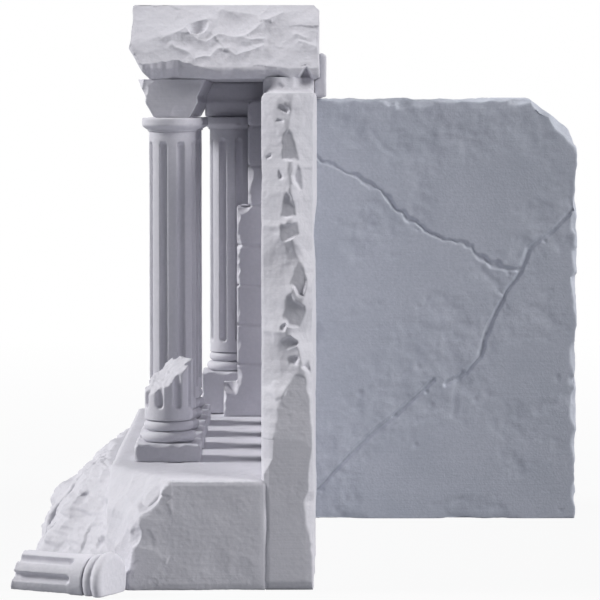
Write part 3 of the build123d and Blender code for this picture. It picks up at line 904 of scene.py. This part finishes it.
def ring_profile(radius, upper, height):
    """Half section of the base: two round rings with a step between them."""
    half = height / 2
    bulge = half / 2
    points = [(0.0, 0.0), (radius - bulge - 0.6, 0.0)]
    for ring, base in ((radius, 0.0), (upper, half)):
        for step in range(13):
            angle = math.pi * (step / 12 - 0.5)
            points.append((ring - bulge + bulge * math.cos(angle), base + bulge + bulge * math.sin(angle)))
    points += [(upper - bulge - 0.6, height), (0.0, height)]
    return points


def flute_depths(points, foot, top, radius, turn, sizes):
    """How deep the flutes are at each point of an upright shaft whose axis is the origin's."""
    count = 8
    pitch = math.tau / count
    angle = np.arctan2(points[:, 1], points[:, 0]) - turn
    off = (angle + pitch / 2) % pitch - pitch / 2
    across = off * radius
    low = foot + sizes.flute_radius
    high = top - sizes.flute_radius
    beyond = np.maximum(low - points[:, 2], 0) + np.maximum(points[:, 2] - high, 0)
    gap = np.hypot(across, beyond)
    rim = math.sqrt(sizes.flute_radius**2 - sizes.flute_sink**2)
    bowl = np.sqrt(np.maximum(sizes.flute_radius**2 - gap**2, 0)) + sizes.flute_sink
    return np.where(gap < rim, bowl, 0)


def fluted(radius, length, foot, top, turn, sizes, rows):
    """Upright fluted shaft on the origin, with rows crowded where the flutes end."""
    bm = bmesh.new()
    bmesh.ops.create_cone(
        bm,
        cap_ends=True,
        segments=168,
        radius1=radius,
        radius2=radius,
        depth=length,
        matrix=Matrix.Translation((0, 0, length / 2)),
    )
    upright = [e for e in bm.edges if abs(e.verts[0].co.z - e.verts[1].co.z) > length / 2]
    bmesh.ops.subdivide_edges(bm, edges=upright, cuts=rows, use_grid_fill=True)
    stone = Stone(bm, seed=3)
    part = stone.points[:, 2] / length
    crowd = 0.055
    stone.points[:, 2] = length * (part - crowd * np.sin(2 * math.tau * part) * 0.9)
    depth = flute_depths(stone.points, foot, top, radius, turn, sizes)
    out = stone.points[:, :2] / radius
    inside = (stone.points[:, 2] > 0.01) & (stone.points[:, 2] < length - 0.01)
    stone.points[:, :2] -= out * (depth * inside)[:, None]
    stone.store()
    return bm


def move_to(bm, spot):
    """Moves a skin to its place."""
    bmesh.ops.translate(bm, verts=bm.verts, vec=spot)
    return bm


SHAFT_RADIUS = 7.65
RING_RADIUS = 8.8
UPPER_RING = 7.9
BASE_HEIGHT = 7.0
PLINTH_HEIGHT = 5.7
FLUTE_FOOT = 4.0
FLUTE_NECK = 3.3
FLUTE_TURN = math.radians(-21)


def make_shaft(node, axis, foot_z, top_z, seed):
    """One standing shaft, its arrises slightly worn."""
    sizes = bpy.context.scene.ruin_sizes
    length = top_z - foot_z
    bm = fluted(SHAFT_RADIUS, length, FLUTE_FOOT, length - FLUTE_NECK, FLUTE_TURN, sizes, 118)
    stone = Stone(move_to(bm, (axis[0], axis[1], foot_z)), seed=seed)
    for _ in range(16):
        angle = stone.random.uniform(0, math.tau)
        way = Vector((math.cos(angle), math.sin(angle), 0))
        spot = Vector((axis[0], axis[1], stone.random.uniform(foot_z + 2, top_z - 2))) + way * SHAFT_RADIUS
        stone.scoop(spot, way, stone.random.uniform(0.8, 2.0), stone.random.uniform(0.08, 0.22))
    stone.swell(5.0, 0.07, 2, where=lambda p: (p[:, 2] > foot_z + 0.1) & (p[:, 2] < top_z - 0.1))
    finish_piece(stone, node + "_stone", dressed_stone(), node)


def make_rings(node, axis, foot_z, seed):
    """The two base rings of a standing column."""
    bm = turned(ring_profile(RING_RADIUS, UPPER_RING, BASE_HEIGHT), (axis[0], axis[1], foot_z))
    stone = Stone(bm, seed=seed)
    for _ in range(5):
        angle = stone.random.uniform(0, math.tau)
        way = Vector((math.cos(angle), math.sin(angle), stone.random.uniform(-0.3, 0.6)))
        height = foot_z + stone.random.choice((1.8, 5.2))
        spot = Vector((axis[0], axis[1], height)) + way * (RING_RADIUS - 0.5)
        stone.scoop(spot, way, stone.random.uniform(1.0, 2.2), stone.random.uniform(0.2, 0.5))
    stone.swell(4.0, 0.06, 2)
    stone.points[:, 2] = np.clip(stone.points[:, 2], foot_z, foot_z + BASE_HEIGHT)
    finish_piece(stone, node + "_stone", dressed_stone(), node)


def make_capital(node, axis, foot_z, top_z, seed):
    """Flaring capital: a small fillet, a swelling cushion and a plain band."""
    tall = top_z - foot_z
    profile = [(0.0, 0.0), (SHAFT_RADIUS + 0.2, 0.0), (SHAFT_RADIUS + 0.5, 0.15), (SHAFT_RADIUS + 0.5, 0.55)]
    for step in range(9):
        part = step / 8
        profile.append((SHAFT_RADIUS + 0.5 + 1.85 * math.sin(part * math.pi / 2), 0.6 + 1.7 * part))
    profile += [(10.0, 2.45), (10.0, 3.2), (9.95, tall - 0.35), (9.7, tall), (0.0, tall)]
    stone = Stone(turned(profile, (axis[0], axis[1], foot_z)), seed=seed)
    for _ in range(4):
        angle = stone.random.uniform(0, math.tau)
        way = Vector((math.cos(angle), math.sin(angle), stone.random.uniform(-0.5, 0.3)))
        spot = Vector((axis[0], axis[1], foot_z + tall * 0.7)) + way.normalized() * 9.9
        stone.scoop(spot, way, stone.random.uniform(0.8, 1.8), stone.random.uniform(0.15, 0.4))
    stone.swell(4.0, 0.05, 2)
    stone.points[:, 2] = np.clip(stone.points[:, 2], foot_z, top_z)
    finish_piece(stone, node + "_stone", dressed_stone(), node)


def make_square(node, low, high, cell, chips, seed):
    """A square block under a column, its edges knocked about."""
    bm = bmesh.new()
    block(bm, low, high)
    stone = Stone(even_skin(bm, cell), seed=seed)
    corners = [(low.x, low.y), (high.x, low.y), (high.x, high.y), (low.x, high.y)]
    middle = Vector(((low.x + high.x) / 2, (low.y + high.y) / 2, 0))
    for (ax, ay), (bx, by) in zip(corners, corners[1:] + corners[:1]):
        out = (Vector(((ax + bx) / 2, (ay + by) / 2, 0)) - middle).normalized()
        stone.chip_edge((ax, ay, high.z), (bx, by, high.z), out + UP, chips, (1.0, 3.4), (0.25, 0.8))
        corner_way = Vector((ax, ay, 0)) - middle
        stone.chip_edge((ax, ay, low.z), (ax, ay, high.z), corner_way, 3, (1.0, 2.4), (0.2, 0.6))
    stone.swell(5.0, 0.18, 2)
    stone.swell(1.2, 0.06, 2)
    stone.keep_within(low, high)
    finish_piece(stone, node + "_stone", rough_stone(), node)


def columns():
    """(node prefix, axis, ring foot height, whether it is whole) of each standing column."""
    found = []
    for number in range(1, 5):
        low, high = span(f"front_column_{number}_plinth")
        axis = ((low.x + high.x) / 2, (low.y + high.y) / 2)
        found.append((f"front_column_{number}", axis, FLOOR_Z + PLINTH_HEIGHT, number > 1))
    low, high = span("far_pedestal")
    found.append(("far_column", ((low.x + high.x) / 2, (low.y + high.y) / 2), high.z, True))
    return found


def make_columns():
    """Every standing column, with its plinth or pedestal."""
    for index, (name, axis, foot, whole) in enumerate(columns()):
        seed = 60 + 5 * index
        if name == "far_column":
            low, high = span("far_pedestal")
            low.z = FLOOR_Z
            make_square("far_pedestal", low, high, 0.55, 5, seed)
        else:
            low, high = span(name + "_plinth")
            low.z = FLOOR_Z
            make_square(name + "_plinth", low, high, 0.42, 6, seed)
        make_rings(name + "_base", axis, foot, seed + 1)
        if whole:
            capital_foot = span(name + "_shaft")[1].z
            make_shaft(name + "_shaft", axis, foot + BASE_HEIGHT, capital_foot, seed + 2)
            make_capital(name + "_capital", axis, capital_foot, CAPITAL_TOP, seed + 3)


def make_stump():
    """The snapped first column, with a rough sloping break."""
    sizes = bpy.context.scene.ruin_sizes
    name, axis, foot, _ = columns()[0]
    foot += BASE_HEIGHT
    slope = Vector((-0.55, -0.35, 0.76)).normalized()
    middle = Vector((axis[0], axis[1], foot + 15.0))
    length = 26.0
    bm = fluted(SHAFT_RADIUS, length, FLUTE_FOOT, length + 9, FLUTE_TURN, sizes, 60)
    move_to(bm, (axis[0], axis[1], foot))
    cut(bm, middle, slope)
    stone = Stone(even_skin(bm, 0.32, soften=3), seed=81)

    def on_break(p):
        return ((p - np.array(middle)) @ np.array(slope)) > -0.35

    stone.flatten((axis[0] + 4.0, axis[1], foot + 20.2), (0.25, 0.1, 0.96))
    stone.knap(3.4, 0.40, where=on_break)
    stone.swell(1.3, 0.16, 2, where=on_break)
    stone.swell(4.0, 0.06, 2, where=lambda p: p[:, 2] > foot + 0.2)
    finish_piece(stone, name + "_broken_shaft_stone", rough_stone(), name + "_broken_shaft")


def make_fallen_column():
    """The piece of column on the ground: base rings and a short broken shaft, cut flat below."""
    sizes = bpy.context.scene.ruin_sizes
    end = Vector((-14.2, -119.6, 3.9))
    turn = math.radians(153)
    way = Vector((math.cos(turn), math.sin(turn), 0))
    upright = Vector((0, 0, 1)).rotation_difference(way).to_matrix().to_4x4()
    lay = Matrix.Translation(end) @ upright
    ground = Vector((0, 0, 0))

    rings = turned(ring_profile(RING_RADIUS, UPPER_RING, BASE_HEIGHT), (0, 0, 0))
    bmesh.ops.transform(rings, matrix=lay, verts=rings.verts)
    cut(rings, ground, DOWN)
    stone = Stone(even_skin(rings, 0.34), seed=82)
    stone.swell(4.0, 0.08, 2)
    stone.swell(1.0, 0.05, 2)
    low, high = span("fallen_column_base")
    stone.keep_within((low.x, low.y, 0), high)
    finish_piece(stone, "fallen_column_base_stone", rough_stone(), "fallen_column_base")

    shaft = fluted(SHAFT_RADIUS, 34.0, FLUTE_FOOT, 50.0, FLUTE_TURN, sizes, 80)
    move_to(shaft, (0, 0, BASE_HEIGHT))
    bmesh.ops.transform(shaft, matrix=lay, verts=shaft.verts)
    tip = end + way * 33.0
    break_way = Vector((-0.93, 0.2, 0.25)).normalized()
    cut(shaft, tip, break_way)
    cut(shaft, ground, DOWN)
    stone = Stone(even_skin(shaft, 0.34), seed=83)

    def on_break(p):
        return ((p - np.array(tip)) @ np.array(break_way)) > -0.35

    stone.knap(3.4, 0.5, where=on_break)
    stone.swell(4.0, 0.08, 2)
    stone.swell(1.0, 0.05, 2)
    low, high = span("fallen_column_shaft")
    stone.keep_within((low.x, low.y, 0), high)
    finish_piece(stone, "fallen_column_shaft_stone", rough_stone(), "fallen_column_shaft")


# Beams, roof and cornice.
BEAM_HALF = ((5.9, 0.0), (8.7, 5.2), (8.3, 6.8), (11.4, 12.6))


def make_beams():
    """The moulded beams over the columns."""
    sizes = bpy.context.scene.ruin_sizes
    base = CAPITAL_TOP
    section = list(BEAM_HALF) + [(-x, z) for x, z in reversed(BEAM_HALF)]
    bm = bmesh.new()
    prism(bm, [Vector((x, BEAM_NEAR_Y, base + z)) for x, z in section], (0, FAR_Y - BEAM_NEAR_Y, 0))
    bm = even_skin(bm, 0.62)
    refine(bm, lambda p: p.y < BEAM_NEAR_Y + 4)
    stone = Stone(bm, seed=91)
    stone.hew(lambda p: p[:, 1] < BEAM_NEAR_Y + 0.3, NEAR, 7, (2.5, 5.0), (0.10, 0.30), tilt=0.05)
    for side in (-1, 1):
        for x, z, count, rims, depths in (
            (side * 11.4, BEAM_TOP, 26, (1.0, 3.0), (0.2, 0.6)),
            (side * 8.7, base + 5.2, 22, (1.0, 2.6), (0.1, 0.35)),
        ):
            stone.chip_edge((x, BEAM_NEAR_Y, z), (x, FAR_Y, z), (side, 0, 0), count, rims, depths)
    stone.flatten((-8.9, BEAM_NEAR_Y, base + 12.6), (-0.95, -0.28, 0.12))
    stone.scoop((-8.6, BEAM_NEAR_Y, base + 8.5), (-0.7, -0.7, 0.2), 2.4, 0.8)
    stone.scoop((-7.0, BEAM_NEAR_Y, base + 12.0), (-0.2, -0.9, 0.4), 3.4, 0.5)
    stone.swell(7.0, 0.12, 2)
    stone.swell(1.4, sizes.grain, 2)
    stone.keep_within((-11.4, BEAM_NEAR_Y, base), (11.4, FAR_Y, BEAM_TOP))
    finish_piece(stone, "front_beam_stone", dressed_stone(), "front_beam")

    low, high = span("cross_beam")
    middle = (low.y + high.y) / 2
    bm = bmesh.new()
    prism(bm, [Vector((8.0, middle + x, base + z)) for x, z in section], (WALL_X - 8.0, 0, 0))
    cut(bm, (6.4, middle, base), (-0.93, 0, -0.37))
    stone = Stone(even_skin(bm, 0.6), seed=92)
    stone.swell(6.0, 0.12, 2)
    stone.swell(1.4, sizes.grain, 2)
    stone.keep_within((low.x, low.y, base), high)
    finish_piece(stone, "cross_beam_stone", dressed_stone(), "cross_beam")


# Sharp ridges on the roof's near end: distance along X, and height over the roof's underside.
ROOF_CREASES = (
    ((-2.4, 13.3), (0.9, 14.3), (4.5, 16.6), (5.5, 15.6), (9.1, 12.3), (11.4, 12.0)),
    ((11.4, 19.2), (10.7, 16.0), (9.1, 13.0)),
    ((16.3, 22.5), (18.6, 18.6), (21.9, 16.6), (25.1, 16.0), (28.4, 17.0), (31.7, 19.2), (36.2, 21.5)),
    ((11.4, 11.7), (15.3, 14.3), (20.6, 14.0), (26.1, 12.6), (30.4, 12.6)),
    ((0.3, 11.0), (5.8, 7.8), (7.5, 6.1)),
    ((8.1, 6.5), (13.0, 7.1), (15.3, 9.7), (18.6, 9.7), (21.2, 7.4), (28.4, 9.7), (30.4, 10.7)),
    ((40.8, 14.3), (43.8, 13.0)),
    ((41.8, 12.0), (47.0, 9.7)),
)


# Lower edge of the roof's near end: distance along X, and height over the roof's underside.
ROOF_LIP = (
    (-14.6, -8.8, 2.3, 7.5, 11.4, 14.4, 20.6, 27.5, 31.0, 35.4, 38.8, 41.6, 44.2, 46.2, 48.6),
    (6.4, 4.8, 6.1, 4.2, 3.2, 2.5, 2.9, 3.0, 3.4, 2.6, 0.8, 1.6, 4.6, 1.6, 0.6),
)


def make_roof():
    """Broken roof block: hewn near end, undercut front edge, rough top."""
    sizes = bpy.context.scene.ruin_sizes
    low, high = span("roof_slab")
    low.z = BEAM_TOP
    bm = bmesh.new()
    block(bm, low, high + Vector((0, 0, 0.9)))
    cut(bm, (low.x, low.y, low.z + 12.6), (-0.87, 0, -0.49))
    bm = even_skin(bm, 1.5)
    refine(bm, lambda p: p.y < low.y + 24)
    refine(bm, lambda p: p.y < low.y + 12)
    refine(bm, lambda p: p.y < low.y + 3.5)
    stone = Stone(bm, seed=101)
    # The near end leans well back; its lower edge waves and is cut under.
    wave = waves(stone.points * np.array((1, 0, 0)), 16.0, 3, 6.0)
    rise = stone.points[:, 2] - low.z
    lip = np.interp(stone.points[:, 0], ROOF_LIP[0], ROOF_LIP[1])
    lip += waves(stone.points * np.array((1, 0, 0)), 3.0, 2, 2.0) * 0.5
    over = np.interp(np.maximum(rise - 3.6, 0), (0, 6, 14, 21), (0, 3.8, 10.0, 17.0))
    under = np.clip(lip - rise, 0, None) * 1.05
    lean_back = over + under + wave * 1.2 + 0.9
    in_reach = np.clip(1 - (stone.points[:, 1] - low.y) / 34.0, 0, 1)
    stone.points[:, 1] += np.maximum(lean_back, 0) * in_reach

    def near_end(p):
        return (p[:, 1] < low.y + 26) & (p[:, 0] > low.x + 0.3) & (p[:, 2] > low.z + 0.5)

    out = Vector((0, -0.80, 0.60))
    stone.knap(15.0, 1.5, where=near_end, stretch=(0.7, 1, 1.2), lean=0.5)
    creases = [[(x, low.z + z) for x, z in line] for line in ROOF_CREASES]
    stone.crease((0, 2), creases, 1.5, 1.0, out)
    stone.scoop((21.5, low.y + 12.5, low.z + 19.5), out, 5.5, 1.1)
    stone.scoop((8.0, low.y + 11.5, low.z + 18.4), (0.1, -0.9, 0.1), 2.4, 0.6)
    stone.scoop((4.4, low.y + 13.0, low.z + 20.6), (-0.5, -0.6, 0.6), 2.4, 0.5)
    stone.knap(3.6, 0.22, where=near_end)
    stone.soften(near_end, 2)
    # The hole over the end of the wall.
    stone.scoop((WALL_X + 13.8, low.y + 1.5, low.z + 1.5), (0.1, -1, -0.2), 3.0, 3.4)
    for x, z, way, count, rims, depths in (
        (low.x, high.z, (-0.7, 0, 0.7), 34, (2.5, 7.0), (0.4, 1.3)),
        (high.x, high.z, (0.7, 0, 0.7), 34, (2.5, 6.0), (0.3, 1.0)),
        (low.x, low.z + 12.6, (-1, 0, 0), 34, (2.5, 7.0), (0.4, 1.2)),
        (low.x + 7, low.z, (-0.8, 0, -0.5), 20, (2.5, 6.0), (0.4, 1.0)),
    ):
        stone.chip_edge((x, low.y, z), (x, high.y, z), way, count, rims, depths)
    foot, head = (low.x, high.y, low.z), (low.x, high.y, high.z)
    stone.chip_edge(foot, head, (-0.7, 0.7, 0), 6, (2.5, 6.0), (0.4, 1.2))
    stone.hew(lambda p: p[:, 1] > high.y - 0.4, FAR, 46, (3.0, 8.0), (0.4, 1.3))
    stone.hew(lambda p: p[:, 0] < low.x + 0.5, LEFT, 60, (3.0, 9.0), (0.3, 1.0), tilt=0.15)
    stone.hew(
        lambda p: (p[:, 2] > high.z - 0.5) & (p[:, 1] > low.y + 34),
        UP,
        60,
        (5.0, 14.0),
        (0.3, 0.9),
        tilt=0.05,
    )
    stone.swell(13.0, 0.35, 3)
    stone.swell(1.4, sizes.grain, 2)
    stone.keep_within(low, high)
    finish_piece(stone, "roof_slab_stone", rough_stone(), "roof_slab")


def make_cornice():
    """Moulding along the wall's outer top, with a rounded upper edge."""
    sizes = bpy.context.scene.ruin_sizes
    low, high = span("back_cornice")
    inner = span("roof_slab")[1].x
    section = [(WALL_OUTER_X, low.z), (high.x - 0.3, low.z), (high.x, low.z + 0.3)]
    for step in range(7):
        angle = step / 6 * math.pi / 2
        section.append((high.x - 1.8 + 1.8 * math.cos(angle), high.z - 1.8 + 1.8 * math.sin(angle)))
    section += [(inner, high.z), (inner, BEAM_TOP), (WALL_OUTER_X, BEAM_TOP)]
    bm = bmesh.new()
    prism(bm, [Vector((x, low.y, z)) for x, z in section], (0, high.y - low.y, 0))
    stone = Stone(even_skin(bm, 0.55), seed=111)
    for z, way, depths in ((low.z, (0.8, 0, -0.6), (0.2, 0.6)), (high.z, (0.7, 0, 0.7), (0.2, 0.5))):
        stone.chip_edge((high.x, low.y, z), (high.x, high.y, z), way, 18, (1.2, 3.0), depths)
    stone.swell(6.0, 0.15, 2)
    stone.swell(1.4, sizes.grain, 2)
    stone.keep_within((WALL_OUTER_X, low.y, low.z), high)
    finish_piece(stone, "back_cornice_stone", rough_stone(), "back_cornice")


# Stage, lamps and camera.
def background_rays(tree):
    """The rays that see the plain white background: camera, glossy and transmission rays."""
    rays = linked(tree, "ShaderNodeLightPath")
    mirrored = linked(
        tree,
        "ShaderNodeMath",
        {0: rays.outputs["Is Camera Ray"], 1: rays.outputs["Is Glossy Ray"]},
        operation="MAXIMUM",
    )
    every = linked(
        tree,
        "ShaderNodeMath",
        {0: mirrored.outputs[0], 1: rays.outputs["Is Transmission Ray"]},
        operation="MAXIMUM",
    )
    return every.outputs[0]


def stage_material():
    """Pale ground that shows white to the camera and keeps a faint shadow."""
    material = bpy.data.materials.new("pale_ground")
    material.use_nodes = True
    tree = material.node_tree
    tree.nodes.clear()
    glow = linked(tree, "ShaderNodeEmission", {"Color": (1, 1, 1, 1), "Strength": 1.0})
    seen = background_rays(tree)
    position = linked(tree, "ShaderNodeTexCoord").outputs["Object"]
    distance = linked(tree, "ShaderNodeVectorMath", {0: position}, operation="LENGTH")
    fade = linked(
        tree,
        "ShaderNodeMapRange",
        {
            "Value": distance.outputs["Value"],
            "From Min": 0.25,
            "From Max": 0.9,
            "To Min": 0.93,
            "To Max": 1.0,
        },
    )
    ground = linked(tree, "ShaderNodeBsdfDiffuse", {"Color": (0.40, 0.41, 0.43, 1)})
    share = linked(tree, "ShaderNodeMath", {0: seen, 1: fade.outputs[0]}, operation="MULTIPLY")
    mix = linked(
        tree,
        "ShaderNodeMixShader",
        {0: share.outputs[0], 1: ground.outputs[0], 2: glow.outputs[0]},
    )
    linked(tree, "ShaderNodeOutputMaterial", {"Surface": mix.outputs[0]})
    return material


def add_sun(name, toward, strength, softness):
    """A distant lamp that shines from a given direction, with a softness in degrees."""
    data = bpy.data.lights.new(name, "SUN")
    data.energy = strength
    data.color = (1.0, 0.99, 0.985)
    data.angle = math.radians(softness)
    lamp = bpy.data.objects.new(name, data)
    lamp.rotation_euler = Vector(toward).to_track_quat("Z", "Y").to_euler()
    bpy.context.scene.collection.objects.link(lamp)


def make_stage():
    """Floor, world, lamps and the camera."""
    finish = bpy.context.scene.ruin_finish
    scene = bpy.context.scene
    bm = bmesh.new()
    bmesh.ops.create_grid(bm, x_segments=1, y_segments=1, size=6.0)
    mesh = bpy.data.meshes.new("ground")
    bm.to_mesh(mesh)
    bm.free()
    mesh.materials.append(stage_material())
    ground = bpy.data.objects.new("ground", mesh)
    scene.collection.objects.link(ground)

    world = bpy.data.worlds.new("studio")
    scene.world = world
    world.use_nodes = True
    tree = world.node_tree
    tree.nodes.clear()
    seen = background_rays(tree)
    around = linked(tree, "ShaderNodeBackground", {"Color": (*finish.ambient, 1), "Strength": 1.0})
    white = linked(tree, "ShaderNodeBackground", {"Color": (1, 1, 1, 1), "Strength": 1.0})
    mix = linked(tree, "ShaderNodeMixShader", {0: seen, 1: around.outputs[0], 2: white.outputs[0]})
    linked(tree, "ShaderNodeOutputWorld", {"Surface": mix.outputs[0]})

    add_sun("left_softbox", (-0.84, 0.06, 0.54), finish.left_lamp, 18)
    add_sun("right_softbox", (0.80, -0.24, 0.57), finish.right_lamp, 34)

    camera_data = bpy.data.cameras.new("camera")
    camera_data.lens = 183.4
    camera_data.sensor_width = 36.0
    camera_data.clip_end = 20.0
    camera = bpy.data.objects.new("camera", camera_data)
    camera.location = Vector((36.9, -1029.5, 145.0)) * MM
    camera.rotation_euler = (math.radians(90 - 3.556), 0, math.radians(-0.30))
    scene.collection.objects.link(camera)
    scene.camera = camera
    scene.view_settings.view_transform = "Standard"


# Operators: one for each piece or group of like pieces, and one for the stage.
class RUIN_OT_podium(bpy.types.Operator):
    """Sculpt the rock podium"""

    bl_idname = "ruin.podium"
    bl_label = "Podium"

    def execute(self, context):
        make_podium()
        return {"FINISHED"}


class RUIN_OT_rubble(bpy.types.Operator):
    """Sculpt the eroded rock in front of the podium"""

    bl_idname = "ruin.rubble"
    bl_label = "Front rubble"

    def execute(self, context):
        make_rubble()
        return {"FINISHED"}


class RUIN_OT_back_wall(bpy.types.Operator):
    """Sculpt the back wall and its hewn end"""

    bl_idname = "ruin.back_wall"
    bl_label = "Back wall"

    def execute(self, context):
        make_back_wall()
        return {"FINISHED"}


class RUIN_OT_side_slab(bpy.types.Operator):
    """Sculpt the cracked side slab"""

    bl_idname = "ruin.side_slab"
    bl_label = "Side slab"

    def execute(self, context):
        make_side_slab()
        return {"FINISHED"}


class RUIN_OT_cross_wall(bpy.types.Operator):
    """Sculpt the ashlar stub across the porch"""

    bl_idname = "ruin.cross_wall"
    bl_label = "Cross wall"

    def execute(self, context):
        make_cross_wall()
        return {"FINISHED"}


class RUIN_OT_columns(bpy.types.Operator):
    """Turn and flute the standing columns"""

    bl_idname = "ruin.columns"
    bl_label = "Columns"

    def execute(self, context):
        make_columns()
        make_stump()
        return {"FINISHED"}


class RUIN_OT_fallen_column(bpy.types.Operator):
    """Lay the fallen piece of column"""

    bl_idname = "ruin.fallen_column"
    bl_label = "Fallen column"

    def execute(self, context):
        make_fallen_column()
        return {"FINISHED"}


class RUIN_OT_beams(bpy.types.Operator):
    """Sculpt the moulded beams"""

    bl_idname = "ruin.beams"
    bl_label = "Beams"

    def execute(self, context):
        make_beams()
        return {"FINISHED"}


class RUIN_OT_roof(bpy.types.Operator):
    """Sculpt the roof block and its cornice"""

    bl_idname = "ruin.roof"
    bl_label = "Roof"

    def execute(self, context):
        make_roof()
        make_cornice()
        return {"FINISHED"}


class RUIN_OT_stage(bpy.types.Operator):
    """Set up the floor, lamps and camera"""

    bl_idname = "ruin.stage"
    bl_label = "Stage"

    def execute(self, context):
        make_stage()
        return {"FINISHED"}


OPERATORS = (
    RUIN_OT_podium,
    RUIN_OT_rubble,
    RUIN_OT_back_wall,
    RUIN_OT_side_slab,
    RUIN_OT_cross_wall,
    RUIN_OT_columns,
    RUIN_OT_fallen_column,
    RUIN_OT_beams,
    RUIN_OT_roof,
    RUIN_OT_stage,
)


class RUIN_PT_panel(bpy.types.Panel):
    """Sidebar panel with the ruin's sizes, colours and pieces"""

    bl_idname = "RUIN_PT_panel"
    bl_label = "Terrain ruin"
    bl_space_type = "VIEW_3D"
    bl_region_type = "UI"
    bl_category = "Ruin"

    def draw(self, context):
        for group in (context.scene.ruin_sizes, context.scene.ruin_finish):
            box = self.layout.box()
            for name in group.__annotations__:
                box.prop(group, name)
        for operator in OPERATORS:
            self.layout.operator(operator.bl_idname)


CLASSES = (RuinSizes, RuinFinish, *OPERATORS, RUIN_PT_panel)


def register():
    """Registers the classes and hangs the settings on the scene."""
    for cls in CLASSES:
        bpy.utils.register_class(cls)
    bpy.types.Scene.ruin_sizes = bpy.props.PointerProperty(type=RuinSizes)
    bpy.types.Scene.ruin_finish = bpy.props.PointerProperty(type=RuinFinish)


def unregister():
    """Removes the settings and the classes."""
    del bpy.types.Scene.ruin_finish
    del bpy.types.Scene.ruin_sizes
    for cls in reversed(CLASSES):
        bpy.utils.unregister_class(cls)


def main():
    """Builds every piece and the stage."""
    register()
    for operator in OPERATORS:
        group, name = operator.bl_idname.split(".")
        getattr(getattr(bpy.ops, group), name)()


if __name__ == "__main__":
    main()
